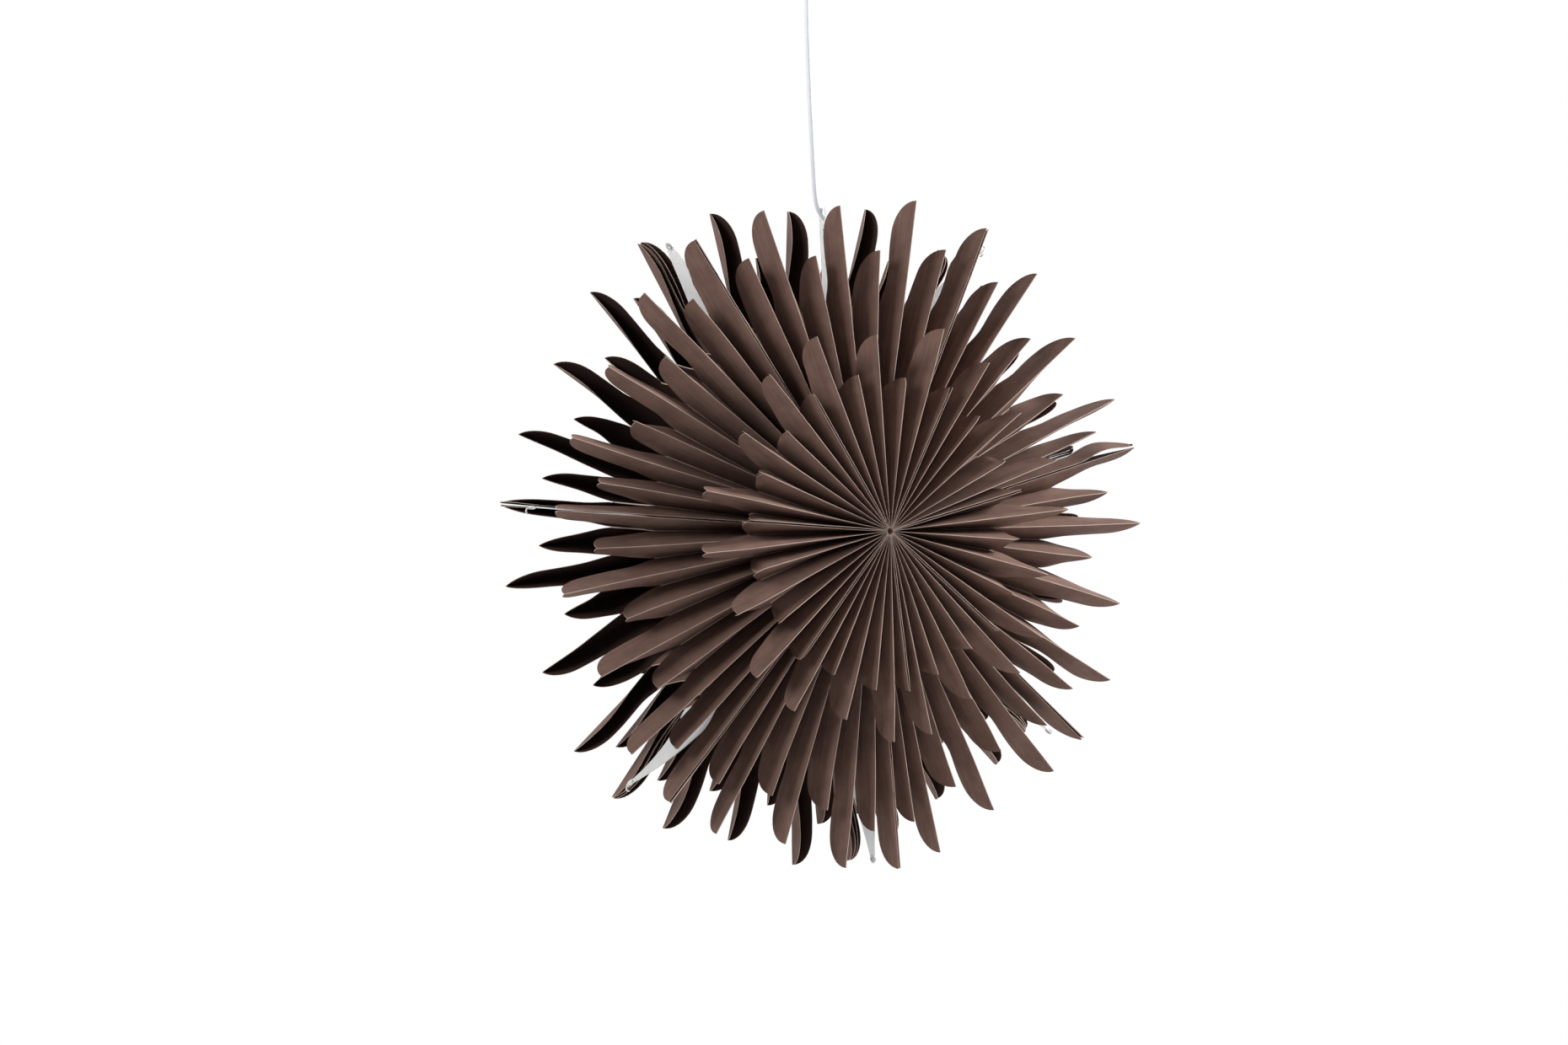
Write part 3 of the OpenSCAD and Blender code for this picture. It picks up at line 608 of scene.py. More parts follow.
@dataclass(frozen=True)
class FoldedLeaf:
    """One leaf folded along a straight ridge, glued to its neighbours along its free edges.

    Its flanks have a constant width, so the fold opens with the radius: the sine of its half angle is the
    half gap to the neighbour over the width. Past the last glue it keeps that angle, and a knife cut ends it.
    """

    plan: StarPlan
    angle: float
    pole: int
    start: float
    tip: float
    cut: float
    face: float
    waist: float
    reach: float
    height: float
    fall: float
    bend: float = 0.0
    droop: float = 0.0
    twist: float = 0.0
    ripple: float = 0.0
    phase: float = 0.0
    ridge_side: float = 0.0
    rows: int = 26
    close: float = 0.36
    spread: float = 1.0
    step_at: float = 0.0
    step: float = 0.13
    arch: float = 0.0
    arch_from: float = 235.0
    shut_at: float = 0.75
    belly: float = 0.7
    belly_from: float = 45.0
    belly_run: float = 40.0
    waist_run: float = 32.0
    wavy: float = 0.022
    wave_mm: float = 13.0
    ripple_mm: float = 23.0
    least_share: float = 0.02

    def radii(self) -> tuple[Array, Array]:
        """Radii of the rows and the width of the face there, as a share of its full width.

        The width falls to the waist past the glue, swells before the tip, and follows a quarter ellipse
        along the knife cut. Past step_at, where the leaf was nicked, it is narrower by step.

        Returns:
            The radii, and the shares.
        """
        body = np.linspace(self.start, self.tip - self.cut, self.rows)
        turn = np.linspace(0.0, 0.5 * math.pi, 10)[1:]
        r = np.concatenate([body, self.tip - self.cut + self.cut * np.sin(turn)])
        ease = np.concatenate([np.ones(len(body)), np.cos(turn)])
        swell = smooth((r - (self.tip - self.cut - self.belly_from)) / self.belly_run)
        belly = self.belly * (1.0 - self.waist) * swell
        share = 1.0 - (1.0 - self.waist) * smooth((r - self.reach + 6.0) / self.waist_run) + belly
        share = share - self.step * smooth((r - self.step_at) / 5.0) * (self.step_at > 0.0)
        wave = self.wavy * np.sin(r / self.wave_mm + self.phase) * smooth((r - self.reach) / 20.0)
        return r, np.maximum((share + wave) * ease, self.least_share)

    def drift(self, r: Array) -> tuple[Array, Array]:
        """How far the leaf has strayed past its glue: sideways, and down.

        With u the eased share of the free length, they are bend * u^2 plus arch * sin^2 between arch_from and
        the tip, and droop * u^2.

        Args:
            r: Radii.

        Returns:
            The sideways distances, and the falls.
        """
        u = smooth((r - self.reach) / max(self.tip - self.reach, 1.0))
        hump = 0.0 * r
        if self.arch:
            hump = np.sin(np.pi * np.clip((r - self.arch_from) / (self.tip - self.arch_from), 0.0, 1.0)) ** 2
        return self.bend * u ** 2 + self.arch * hump, self.droop * u ** 2

    def flank(self, half_gap: float, side: int) -> tuple[Array, Array, Array]:
        """One face of the leaf.

        At a share t of the width the sine of the slope is S * (1 + b * (1 - 2t)), so the face bulges by b
        and still ends at the neighbour. Its sideways run is the width times S * (t + b * (t - t^2)), and
        its depth is Simpson's rule on the cosine. The fold itself is a flat crown, since paper can't be
        folded to a knife edge.

        Args:
            half_gap: Angle to the valley on this side, in degrees.
            side: 1 towards growing angles and -1 away from them.

        Returns:
            The outer grid, the inner grid and the marks.
        """
        r, share = self.radii()
        t = np.concatenate([[0.0], np.linspace(0.0, 1.0, 6)])[None, :] * share[:, None]
        edge = self.ridge_side * np.minimum(r / self.plan.seam_opens, 1.0)
        shut = 1.0 - self.close * smooth((r - self.reach) / (self.shut_at * (self.tip - self.reach)))
        room = (np.minimum(r, self.reach) * math.tan(math.radians(half_gap)) - edge) * shut * self.spread
        room = np.clip(room, SLOPES[0] * self.face, SLOPES[1] * self.face)[:, None]
        sine = room / self.face
        b = self.plan.bulge

        def cosine(x: Array) -> Array:
            """Cosine of the slope at share x of the width."""
            return np.sqrt(1.0 - np.clip(sine * (1.0 + b * (1.0 - 2.0 * x)), 0.0, 0.98) ** 2)

        crown = np.minimum(self.plan.crown * (0.35 + 0.65 * smooth(r / 120.0))[:, None], 0.3 * room)
        lip = np.ones(t.shape[1])
        lip[0] = 0.0
        run = crown * lip + (1.0 - crown / room) * self.face * sine * (t + b * (t - t * t))
        mean = (cosine(0.0 * t) + 4.0 * cosine(t / 2.0) + cosine(t)) / 6.0
        depth = 0.3 * crown * lip + self.face * t * mean
        slope_sin = sine * (1.0 + b * (1.0 - 2.0 * t))
        slope_cos = cosine(t)
        free = smooth((r - self.reach) / max(self.tip - self.reach, 1.0))[:, None]
        wave = self.ripple * np.sin(r / self.ripple_mm + self.phase + side)[:, None] * t * free
        run, depth = run + wave * slope_cos, depth - wave * slope_sin
        thick = self.plan.paper
        run_in = np.maximum(run - thick * slope_cos, 0.0)
        depth_in = depth + thick * slope_sin
        run_in[:, :2] = np.array([0.0, 0.02])
        depth_in[:, :2] = np.minimum(thick / slope_sin[:, :1], 5.0) + np.array([0.1, 0.12])
        aside, down = self.drift(r[:, None])
        grids = []
        for x, d in ((run, depth), (run_in, depth_in)):
            swing = math.radians(self.twist) * free
            x = x * side
            x, d = x * np.cos(swing) + d * np.sin(swing), d * np.cos(swing) - x * np.sin(swing)
            sideways = x + side * edge[:, None] + aside
            height = self.height - self.fall * r[:, None] - d - down
            grids.append(self.plan.place(self.angle, np.broadcast_to(r[:, None], x.shape), sideways, height,
                                         self.pole))
        marks = np.stack([np.broadcast_to(r[:, None], t.shape), t * self.face + self.plan.crown * lip], -1)
        return grids[0], grids[1], marks


def lay(mesh: PaperMesh, leaves: list[FoldedLeaf], half: Array, close: Callable) -> None:
    """Adds a row of leaves with their flanks, and closes the half leaves at both seams.

    Args:
        mesh: Where they are added.
        leaves: The leaves, in the order of their angles.
        half: Half gaps between them, in degrees.
        close: Adds the flat leaf beside a half leaf; it takes the leaf, its side and the mesh.
    """
    last = len(leaves) - 1
    for i, leaf in enumerate(leaves):
        if i > 0:
            mesh.add(*leaf.flank(float(half[i - 1]), -1))
        if i < last:
            mesh.add(*leaf.flank(float(half[i]), 1))
        if i in (0, last):
            close(leaf, 1 if i == 0 else -1, mesh)


@dataclass
class FingerPack:
    """One pack of fingers between two seams: nine leaves in front, the same behind, and glued walls."""

    plan: StarPlan
    k: int
    gaps: int = 8
    tips: tuple[float, ...] = (302, 264, 298, 247, 286, 247, 298, 264, 302)
    long_cut: float = 31.0
    short_cut: float = 25.0
    face: float = 26.0
    waist: float = 0.82
    wall: float = 1.0
    scoop: float = 7.0
    wave: float = 1.2
    seed: int = 40
    odd: dict[tuple[int, int, int], dict[str, float]] = field(default_factory=lambda: {
        (1, 0, -1): {"face": 29.0, "spread": 1.2, "step_at": 262.0},
        (2, 0, -1): {"face": 32.0, "spread": 1.35, "step_at": 268.0, "waist": 1.0},
        (4, 0, -1): {"face": 29.0, "spread": 1.2, "step_at": 258.0},
        (0, 0, -1): {"arch": 4.0, "ripple": 1.8, "spread": 1.15},
        (6, 8, -1): {"ripple": 3.0, "phase": 1.0, "spread": 1.5},
        (0, 8, 1): {"tip": 290.0, "droop": 12.0},
        (1, 0, 1): {"tip": 292.0, "droop": 9.0},
    })

    def leaf(self, i: int, pole: int, draw: np.random.Generator) -> FoldedLeaf:
        """Leaf i, with the small unevenness of hand work past its glue.

        Args:
            i: Number of the leaf, 0 at the first seam.
            pole: -1 in front and 1 behind.
            draw: Seeded source of the unevenness.

        Returns:
            The leaf.
        """
        ends = i in (0, self.gaps)
        long = i % 2 == 0
        tip = self.tips[i] + draw.uniform(-2.0, 2.0) * (not ends)
        leaf = FoldedLeaf(
            plan=self.plan, angle=float(self.plan.ridges(self.k, self.gaps, pole)[i]), pole=pole,
            start=self.plan.hollow_r, tip=tip, cut=self.long_cut if long else self.short_cut,
            face=self.face, waist=self.waist if long else 0.95, reach=self.plan.notch_r,
            height=self.plan.ridge_height, fall=self.plan.ridge_fall,
            bend=0.0 if ends else float(draw.uniform(-1.6, 1.6)), droop=float(draw.uniform(-1.5, 2.0)),
            twist=0.0 if ends else float(draw.uniform(-8.0, 8.0)), ripple=float(draw.uniform(0.2, 1.0)),
            phase=float(draw.uniform(0.0, 6.28)), ridge_side=self.plan.seam_half if ends else 0.0)
        return replace(leaf, **self.odd.get((self.k, i, pole), {}))

    def seam_leaf(self, leaf: FoldedLeaf, side: int, mesh: PaperMesh) -> None:
        """Flat leaf in the seam plane, from the ridge down to the middle plane, cut as its finger is.

        Its points are seam_half + wave * v * (1 + sin(r / wave_mm + 3v)) / 2 beside the seam, at
        ridge - depth * v for v from 0 to 1.

        Args:
            leaf: The half finger that it closes.
            side: 1 after a seam and -1 before it.
            mesh: Where it is added.
        """
        r, share = leaf.radii()
        v = np.linspace(0.0, 1.0, 8)[None, :]
        ridge = self.plan.ridge(r)
        below = smooth((r - self.plan.notch_r + 9.0) / 12.0)
        depth = (ridge * (1.0 - below) + share * self.face * below)[:, None] * v
        free = smooth((r - self.plan.notch_r) / 60.0)[:, None]
        swell = 0.5 + 0.5 * np.sin(r[:, None] / leaf.wave_mm + 3.0 * v + leaf.phase)
        lie = self.plan.seam_half + self.wave * free * swell * v
        aside, down = leaf.drift(r[:, None])
        height = ridge[:, None] - 0.3 - depth - down
        self.plan.sheet(mesh, leaf.angle, r[:, None], side * lie + aside, side * self.plan.paper, height,
                        leaf.pole, -1.0 - depth)

    def walls(self, mesh: PaperMesh) -> None:
        """Glued walls under the valleys, from the front valley to the back one, hollowed at their outer end.

        A wall's outer edge is notch_r - scoop * (1 - h^2), where h runs from -1 to 1 between the valleys.

        Args:
            mesh: Where they are added.
        """
        front, back = (self.plan.ridges(self.k, self.gaps, pole) for pole in (-1, 1))
        s = np.linspace(0.0, 1.0, 10)[:, None]
        h = np.linspace(-1.0, 1.0, 13)[None, :]
        for i in range(self.gaps):
            half = 0.5 * float(front[i + 1] - front[i])
            middle = 0.25 * (front[i] + front[i + 1] + back[i] + back[i + 1])
            middle = middle + 0.25 * (back[i] + back[i + 1] - front[i] - front[i + 1]) * h
            start = self.plan.hollow_r + 2.0
            r = start + (self.plan.notch_r - self.scoop * (1.0 - h * h) - start) * s
            sine = np.clip(r * math.tan(math.radians(half)) / self.face, *SLOPES)
            height = (self.plan.ridge(r) - self.face * np.sqrt(1.0 - sine ** 2) + 1.0) * h
            self.plan.sheet(mesh, middle, r, -0.5 * self.wall, self.wall, height, 1)

    def make(self, finishes: Finishes) -> Piece:
        """Builds the pack and puts it in place of its CAD node.

        Args:
            finishes: Source of the materials.

        Returns:
            The piece.
        """
        draw = np.random.default_rng(self.seed + self.k)
        mesh = PaperMesh()
        for pole in (-1, 1):
            half = 0.5 * np.diff(self.plan.ridges(self.k, self.gaps, pole))
            lay(mesh, [self.leaf(i, pole, draw) for i in range(self.gaps + 1)], half, self.seam_leaf)
        self.walls(mesh)
        piece = mesh.build(f"finger_pack_{self.k + 1}")
        finishes.dress(piece, PAPER)
        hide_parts(f"pack_{self.k + 1}")
        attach(piece, "root")
        return piece


@dataclass
class PoleFan:
    """The folded leaves round one pole that lie over one pack."""

    plan: StarPlan
    k: int
    pole: int
    gaps: int = 6
    tips: tuple[float, ...] = (142, 184, 137, 170, 137, 184, 142)
    height: float = 106.0
    face: float = 28.0
    cut: float = 24.0
    wall: float = 1.0
    wall_from: float = 24.0
    wall_to: float = 124.0
    scoop: float = 10.0
    finger_half: float = 3.4
    finger_face: float = 26.0
    start: float = 3.0
    seed: int = 90

    def angles(self) -> Array:
        """Angles of the fan's ridges, each laid by hand up to 0.9 degrees beside its even share."""
        even = self.plan.ridges(self.k, self.gaps, self.pole)
        stray = np.random.default_rng(7 * self.seed + self.k).uniform(-0.9, 0.9, self.gaps + 1)
        stray[[0, -1]] = 0.0
        return even + stray

    def leaf(self, i: int, draw: np.random.Generator) -> FoldedLeaf:
        """Leaf i of the fan.

        Args:
            i: Number of the leaf, 0 at the first seam.
            draw: Seeded source of the unevenness.

        Returns:
            The leaf.
        """
        ends = i in (0, self.gaps)
        return FoldedLeaf(
            plan=self.plan, angle=float(self.angles()[i]), pole=self.pole,
            start=self.start, tip=self.tips[i] + float(draw.uniform(-3.0, 3.0)),
            cut=self.cut, face=self.face, waist=0.95, reach=128.0, height=self.height, fall=0.0,
            bend=0.0 if ends else float(draw.uniform(-1.0, 1.0)), droop=float(draw.uniform(-0.5, 1.5)),
            twist=0.0 if ends else float(draw.uniform(-5.0, 5.0)), ripple=float(draw.uniform(0.2, 0.8)),
            phase=float(draw.uniform(0.0, 6.28)), ridge_side=self.plan.seam_half if ends else 0.0, rows=24)

    def walls(self, mesh: PaperMesh) -> None:
        """Glued walls under the valleys, down to the fingers below.

        A wall's top is the valley line, and its foot is the height of the finger nearest to it.

        Args:
            mesh: Where they are added.
        """
        angles = self.angles()
        fingers = self.plan.ridges(self.k, 8, self.pole)
        s = np.linspace(0.0, 1.0, 12)[:, None]
        h = np.linspace(0.0, 1.0, 8)[None, :]
        for low, high in zip(angles[:-1], angles[1:]):
            middle, half = 0.5 * (low + high), 0.5 * (high - low)
            off = math.radians(float(np.min(np.abs(fingers - middle))))
            r = self.wall_from + (self.wall_to - self.scoop * (1.0 - h) - self.wall_from) * s
            sine = np.clip(r * math.tan(math.radians(half)) / self.face, *SLOPES)
            top = self.height - self.face * np.sqrt(1.0 - sine ** 2) + 1.0
            foot_sine = np.clip(r * math.tan(math.radians(self.finger_half)) / self.finger_face, 0.05, 0.8)
            down = np.minimum(r * math.sin(off) / foot_sine, self.finger_face)
            foot = self.plan.ridge(r) - down * np.sqrt(1.0 - foot_sine ** 2)
            height = foot + (top - foot) * h
            self.plan.sheet(mesh, middle, r, -0.5 * self.wall, self.wall, height, self.pole)

    def seam_leaf(self, leaf: FoldedLeaf, side: int, mesh: PaperMesh) -> None:
        """Flat leaf in the seam plane under the half leaf, down to the ridge of the half finger.

        Args:
            leaf: The half leaf that it closes.
            side: 1 after a seam and -1 before it.
            mesh: Where it is added.
        """
        r, share = leaf.radii()
        v = np.linspace(0.0, 1.0, 6)[None, :]
        down = self.height - self.plan.ridge(r) - 0.5
        trim = smooth((leaf.tip - 6.0 - r) / 16.0)
        depth = (share * self.face * (1.0 - trim) + np.maximum(down, 1.0) * trim)[:, None] * v
        r = r[:, None]
        height = self.height - 0.3 - depth - leaf.drift(r)[1]
        edge = side * self.plan.seam_half * np.minimum(r / self.plan.seam_opens, 1.0)
        self.plan.sheet(mesh, leaf.angle, r, edge, side * self.plan.paper, height, leaf.pole, -1.0 - depth)

    def make(self, finishes: Finishes) -> Piece:
        """Builds the fan and puts it in place of its CAD node.

        Args:
            finishes: Source of the materials.

        Returns:
            The piece.
        """
        draw = np.random.default_rng(self.seed + self.k + (20 if self.pole > 0 else 0))
        mesh = PaperMesh()
        leaves = [self.leaf(i, draw) for i in range(self.gaps + 1)]
        lay(mesh, leaves, 0.5 * np.diff(self.angles()), self.seam_leaf)
        self.walls(mesh)
        name = "front" if self.pole < 0 else "back"
        piece = mesh.build(f"{name}_pole_fan_{self.k + 1}")
        finishes.dress(piece, PAPER)
        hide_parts(f"{name}_leaves_{self.k + 1}")
        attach(piece, "root")
        return piece


@dataclass
class SeamCards:
    """The white cards in the seams, with a slight bow and a crease near the tip."""

    plan: StarPlan
    thick: float = 0.7
    outline: tuple[tuple[float, float], ...] = (
        (88, 52), (160, 48), (224, 26), (235, 22), (280, 8.5), (293, 5.0), (299, 3.4), (301, 1.2))
    bow: tuple[float, ...] = (0.3, -26.0, 2.5, 0.1, -19.0, 0.6, 1.2)
    crease: tuple[float, ...] = (0.0, 0.0, -2.0, 0.0, 0.0, -0.48, -0.96)
    crease_at: float = 262.0
    crease_slant: float = 20.0
    glued_to: float = 205.0
    free: float = 95.0

    def bent(self, k: int, r: Array | float) -> Array:
        """How far card k has left its plane at radius r: bow * u^2, with u = (r - glued_to) / free, or 0."""
        return self.bow[k] * np.maximum((np.asarray(r) - self.glued_to) / self.free, 0.0) ** 2

    def make(self, finishes: Finishes) -> list[Piece]:
        """Builds the seven cards and puts them in place of their CAD nodes.

        A card's half width is its outline at r. A crease at crease_at + crease_slant * v tilts what lies
        past it.

        Args:
            finishes: Source of the materials.

        Returns:
            The pieces.
        """
        corner = np.array(self.outline)
        r = np.concatenate([np.linspace(88.0, 225.0, 14), np.linspace(225.0, 301.0, 26)[1:]])
        v = np.linspace(-1.0, 1.0, 13)[None, :]
        height = np.interp(r, corner[:, 0], corner[:, 1])[:, None] * v
        r = r[:, None]
        pieces = []
        for k, angle in enumerate(self.plan.seams[:7]):
            mesh = PaperMesh()
            past = np.clip((r - self.crease_at - self.crease_slant * v) / 30.0, 0.0, 1.5)
            lie = self.bent(k, r) + self.crease[k] * past
            turn = angle - self.plan.lean[k] * np.clip(height / 70.0, -1.0, 1.0)
            self.plan.sheet(mesh, turn, r, lie - 0.5 * self.thick, self.thick, height, 1)
            piece = mesh.build(f"seam_card_{k + 1}")
            finishes.dress(piece, CARD)
            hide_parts(f"card_{k + 1}")
            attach(piece, "root")
            pieces.append(piece)
        return pieces


@dataclass
class ClosingHooks:
    """The three coated wire hooks, riveted near the tips of their cards and bent with them."""

    plan: StarPlan
    cards: SeamCards
    on: tuple[int, ...] = (1, 3, 4)
    hole_at: float = 297.0
    straight: float = 5.0
    bend: float = 2.2
    turn: float = 150.0
    wire: float = 1.4
    sides: int = 24
    wire_sides: int = 14
    wire_above: float = 0.5
    rivet: tuple[tuple[float, float], ...] = ((3.2, -1.15), (3.2, -0.6), (1.8, -0.5), (1.8, 0.6), (1.5, 1.3))
    rivet_ends: tuple[float, float] = (-1.15, 1.5)

    def lathe(self, k: int) -> tuple[Array, Array]:
        """Rivet of card k: its flange behind the card, its shank and its head, turned round their axis.

        Args:
            k: Number of the card.

        Returns:
            The points in metres, and the faces as rows of four indices.
        """
        profile = np.array(self.rivet)
        t = np.linspace(0.0, 2.0 * math.pi, self.sides, endpoint=False)
        r = self.hole_at + np.append(profile[:, :1] * np.cos(t), [0.0, 0.0])
        height = np.append(profile[:, :1] * np.sin(t), [0.0, 0.0])
        lie = np.append(np.repeat(profile[:, 1], self.sides), self.rivet_ends)
        lie = self.cards.bent(k, self.hole_at) + lie
        points = self.plan.place(self.plan.seams[k], r, lie, height, 1) * MM
        return points, ring_faces(len(profile), self.sides)

    def hook(self, k: int) -> tuple[Array, Array]:
        """Wire of card k: straight from the hole past the tip, then an arc away from the card.

        Args:
            k: Number of the card.

        Returns:
            The points in metres, and the faces as rows of four indices.
        """
        a = np.radians(np.linspace(0.0, self.turn, 19))
        start = self.hole_at + self.straight
        r = np.concatenate([np.linspace(self.hole_at, start, 5)[:-1], start + self.bend * np.sin(a)])
        lie = np.concatenate([np.zeros(4), self.bend * (1.0 - np.cos(a))])
        lie = lie + self.cards.bent(k, np.minimum(r, start)) + 0.5 * self.wire + self.wire_above
        path = self.plan.place(self.plan.seams[k], r, lie, 0.0 * r, 1) * MM
        return tube(path, 0.5 * self.wire * MM, self.wire_sides)

    def make(self, finishes: Finishes) -> Piece:
        """Builds the hooks as one piece in place of their CAD node.

        Args:
            finishes: Source of the materials.

        Returns:
            The piece.
        """
        parts = [shape(k) for k in self.on for shape in (self.hook, self.lathe)]
        base = np.cumsum([0] + [len(points) for points, _ in parts[:-1]])
        points = np.concatenate([points for points, _ in parts])
        faces = np.concatenate([faces + start for (_, faces), start in zip(parts, base)])
        piece = mesh_piece("closing_hooks_bent", points, faces)
        finishes.dress(piece, WIRE)
        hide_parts("closing_hooks")
        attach(piece, "root")
        return piece


@dataclass
class Flex:
    """The white flex: it leaves the ceiling cup and hangs to the lamp holder through the strip's slot."""

    diameter: float = 5.0
    sides: int = 20
    route: tuple[tuple[float, float, float], ...] = (
        (0, 0, -15), (0, 0, -26), (0, 0, -38), (0, 0, -50), (0, 0, -62), (0.2, 0, -76), (0.5, 0, -90),
        (1, 0, -105), (1.6, 0, -120), (2.3, 0, -135), (3, 0, -150), (3.8, 0, -165), (4.7, 0, -180),
        (5.6, 0, -195), (6.5, 0, -210), (7.4, 0, -224), (8.3, 0, -236), (9.8, 0, -247), (12.5, 0, -254.5),
        (16.5, 0, -260), (20.5, 0, -265.5), (23.2, 0, -273), (24.7, 0, -284), (25.4, 0, -297),
        (25.6, 0, -311), *((25.6, 0, z) for z in range(-325, -446, -15)),
        *((25.6, 0, z) for z in range(-456, -490, -11)))

    def line(self) -> Array:
        """Smooth line through the route, in metres.

        Between two points it is the cubic with the slopes of the chords beside them.

        Returns:
            The points, n by 3.
        """
        p = np.array(self.route) * MM
        slope = np.gradient(p, axis=0)
        s = np.linspace(0.0, 1.0, 5)[:-1][None, :, None]
        a, b = p[:-1, None], p[1:, None]
        da, db = slope[:-1, None], slope[1:, None]
        h = ((2 * s ** 3 - 3 * s ** 2 + 1) * a + (s ** 3 - 2 * s ** 2 + s) * da
             + (3 * s ** 2 - 2 * s ** 3) * b + (s ** 3 - s ** 2) * db)
        return np.concatenate([h.reshape(-1, 3), p[-1:]])

    def make(self, finishes: Finishes) -> Piece:
        """Args:
            finishes: Source of the materials.

        Returns:
            The piece.
        """
        line = self.line()
        points, faces = tube(line, 0.5 * self.diameter * MM, self.sides)
        piece = mesh_piece("white_flex", points, faces)
        finishes.dress(piece, SHEATH)
        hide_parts("cord")
        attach(piece, "root")
        return piece


@dataclass
class Fittings:
    """The CAD nodes whose shape is right as it is, each with its finish."""

    finish: dict[str, PlainFinish] = field(default_factory=lambda: {
        "card_eyelets": NICKEL, "elastic_loop": ELASTIC, "hanging_strip": CARD,
        "lamp_holder": PLASTIC, "holder_cap": PLASTIC, "holder_relief": PLASTIC, "socket_core": CERAMIC,
        "socket_sleeve": BRASS, "centre_contact": BRASS, "bulb": OPAL, "ceiling_plate": ENAMEL,
        "ceiling_cup": ENAMEL, "grub_screws": ZINC, "cup_relief": PLASTIC, "relief_nut": PLASTIC,
        "terminal_block": PLASTIC})

    def dress(self, finishes: Finishes) -> None:
        """Puts the finishes on the nodes.

        Args:
            finishes: Source of the materials.
        """
        for name, finish in self.finish.items():
            finishes.dress(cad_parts[name], finish)


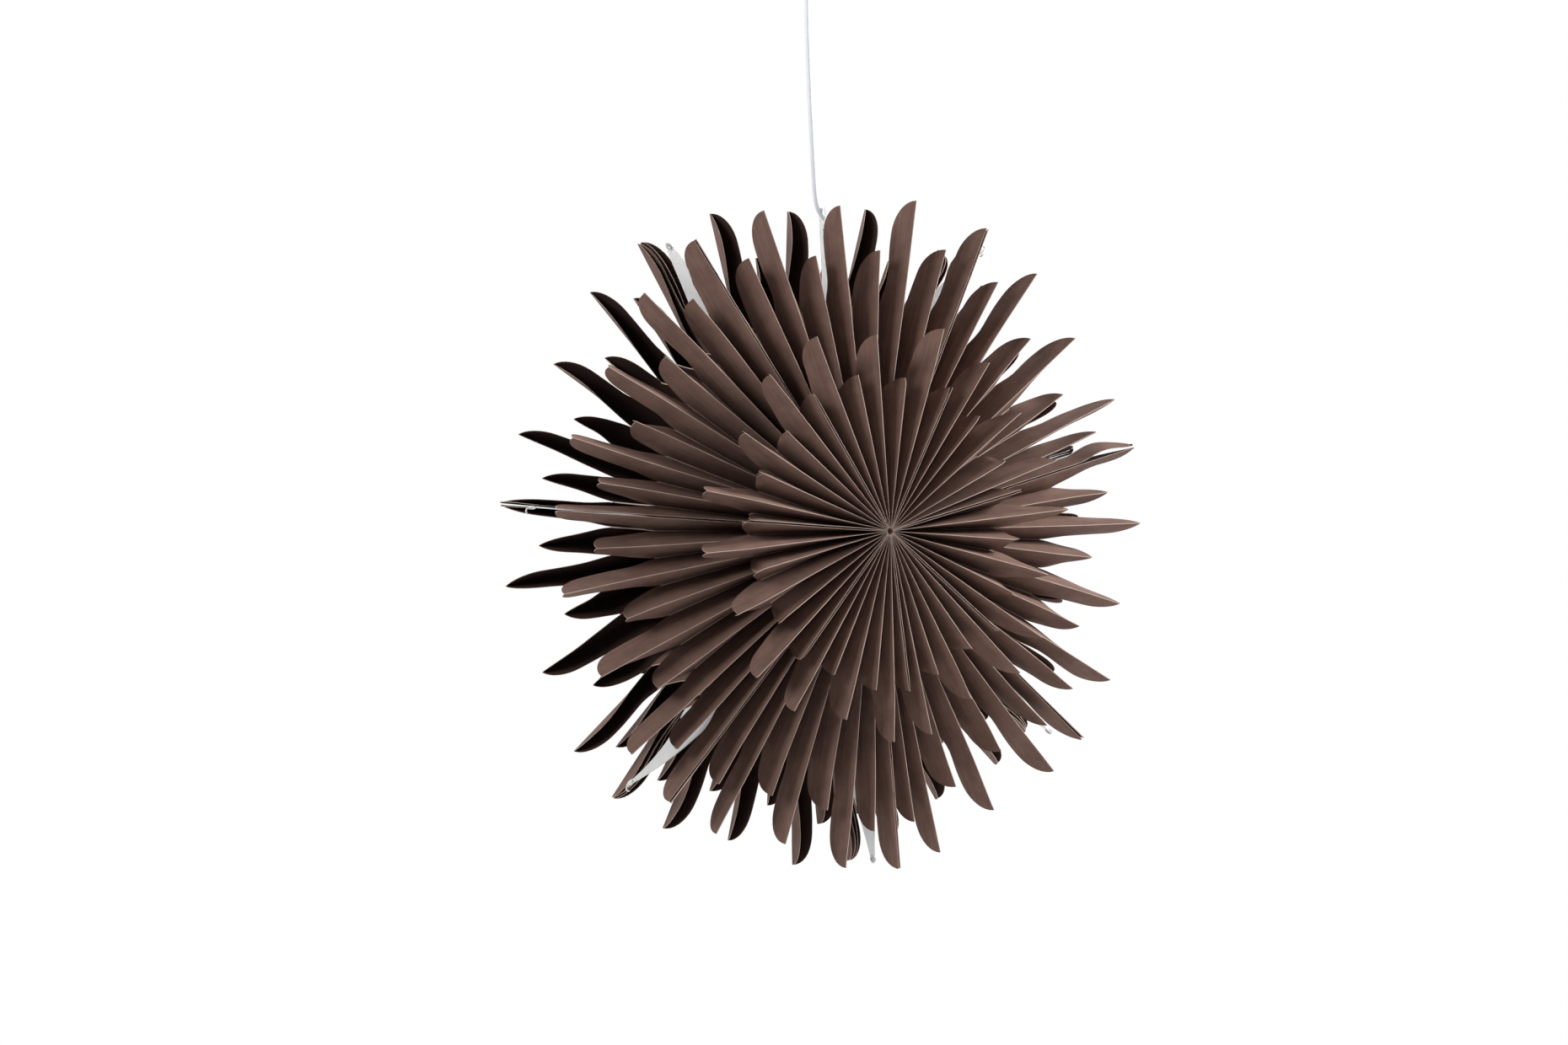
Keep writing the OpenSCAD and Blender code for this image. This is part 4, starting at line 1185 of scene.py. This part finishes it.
@dataclass
class Studio:
    """Camera, floor, lamps and world."""

    aim: tuple[float, float, float] = (22.0, 0.0, -540.0)
    azimuth: float = -30.5
    left: float = 39.3
    above: float = 7.5
    distance: float = 5.0
    width: float = 1.395
    room: float = 0.06
    sweep: float = 1.1
    ceiling: float = 0.25
    lamps: tuple[tuple, ...] = (("key_softbox", (2.75, -1.2, 1.5), 0.8, 185.0),
                                ("fill_softbox", (-2.8, -0.55, 1.1), 1.2, 60.0))

    def camera(self) -> None:
        """Places the camera at the photograph's viewing angle, far off, with a long lens."""
        a = math.radians(self.azimuth)
        right = np.array([math.cos(a), math.sin(a), 0.0])
        ahead = np.array([-math.sin(a), math.cos(a), 0.0])
        aim = np.array(self.aim) * MM - right * self.left * MM + np.array([0.0, 0.0, self.above * MM])
        data = bpy.data.cameras.new("camera")
        data.sensor_width = 36.0
        data.lens = 36.0 * self.distance / self.width
        data.clip_end = 60.0
        camera = bpy.data.objects.new("camera", data)
        camera.location = aim - ahead * self.distance
        camera.rotation_euler = (math.pi / 2.0, 0.0, a)
        bpy.context.scene.collection.objects.link(camera)
        bpy.context.scene.camera = camera

    def lamp(self, name: str, place: tuple[float, float, float], size: float, power: float) -> None:
        """Adds one square soft lamp that faces the star.

        Args:
            name: Name of the lamp.
            place: Where it stands from the star's middle, in metres.
            size: Side of the square, in metres.
            power: Its power in watts.
        """
        data = bpy.data.lights.new(name, "AREA")
        data.shape = "SQUARE"
        data.size = size
        data.energy = power
        lamp = bpy.data.objects.new(name, data)
        spot = np.array(self.aim) * MM + np.array(place)
        lamp.location = spot
        way = np.array(place) / np.linalg.norm(place)
        lamp.rotation_euler = (math.acos(way[2]), 0.0, math.atan2(way[1], way[0]) + math.pi / 2.0)
        bpy.context.scene.collection.objects.link(lamp)

    def white_for_camera(self, tree: Tree, plain: Socket) -> Socket:
        """Shows pure white to camera, glossy and transmission rays, and the plain shader to the rest.

        Args:
            tree: Node tree of the world or the floor.
            plain: Shader that lights the object.

        Returns:
            The mixed shader.
        """
        path = put(tree, "ShaderNodeLightPath").outputs
        seen = maths(tree, "MAXIMUM", path["Is Camera Ray"], path["Is Glossy Ray"])
        seen = maths(tree, "MAXIMUM", seen, path["Is Transmission Ray"])
        kind = "ShaderNodeBackground" if tree is bpy.context.scene.world.node_tree else "ShaderNodeEmission"
        white = put(tree, kind, {"Color": WHITE, "Strength": 1.0}).outputs[0]
        return put(tree, "ShaderNodeMixShader", {0: seen, 1: plain, 2: white}).outputs["Shader"]

    def make(self) -> None:
        """Builds the whole stage."""
        scene = bpy.context.scene
        scene.view_settings.view_transform = "Standard"
        self.camera()
        world = bpy.data.worlds.new("studio")
        scene.world = world
        world.use_nodes = True
        tree = world.node_tree
        tree.nodes.clear()
        # the white sweep behind the star and above it lights it, and the dark room in front hardly does
        way = put(tree, "ShaderNodeTexCoord").outputs["Generated"]
        a = math.radians(self.azimuth)
        behind = put(tree, "ShaderNodeVectorMath", {0: way, 1: (-math.sin(a), math.cos(a), 0.0)},
                     operation="DOT_PRODUCT").outputs["Value"]
        above = put(tree, "ShaderNodeSeparateXYZ", {"Vector": way}).outputs["Z"]
        back = to_range(tree, behind, self.room, self.room + self.sweep, (-0.1, 0.9))
        level = maths(tree, "ADD", back, to_range(tree, above, 0.0, self.ceiling, (0.0, 1.0)))
        air = put(tree, "ShaderNodeBackground", {"Color": WHITE, "Strength": level})
        put(tree, "ShaderNodeOutputWorld", {"Surface": self.white_for_camera(tree, air.outputs[0])})
        for row in self.lamps:
            self.lamp(*row)
        self.floor()

    def floor(self) -> None:
        """Plain pale floor, 1.6 m below the star; camera, glossy and transmission rays see it as pure white.
        """
        z = self.aim[2] * MM - 1.6
        mesh = bpy.data.meshes.new("floor")
        mesh.from_pydata([(-4, -4, z), (4, -4, z), (4, 4, z), (-4, 4, z)], [], [(0, 1, 2, 3)])
        floor = bpy.data.objects.new("floor", mesh)
        bpy.context.scene.collection.objects.link(floor)
        material = bpy.data.materials.new("pale painted floor")
        material.use_nodes = True
        tree = material.node_tree
        tree.nodes.clear()
        paint = put(tree, "ShaderNodeBsdfDiffuse", {"Color": linear("#f0f0f0")})
        put(tree, "ShaderNodeOutputMaterial", {"Surface": self.white_for_camera(tree, paint.outputs[0])})
        mesh.materials.append(material)


def main() -> None:
    """Builds the lamp in order: camera, flex, star, fittings."""
    logging.basicConfig(level=logging.INFO, format="%(name)s: %(message)s")
    finishes = Finishes()
    Studio().make()
    flex = Flex().make(finishes)
    LOG.info("%s made", flex.name)
    plan = StarPlan()
    for k in range(7):
        for piece in (FingerPack(plan, k).make(finishes), PoleFan(plan, k, -1).make(finishes),
                      PoleFan(plan, k, 1).make(finishes)):
            LOG.info("%s: %d faces", piece.name, len(piece.data.polygons))
    cards = SeamCards(plan)
    for piece in (*cards.make(finishes), ClosingHooks(plan, cards).make(finishes)):
        LOG.info("%s made", piece.name)
    Fittings().dress(finishes)


if __name__ == "__main__":
    main()
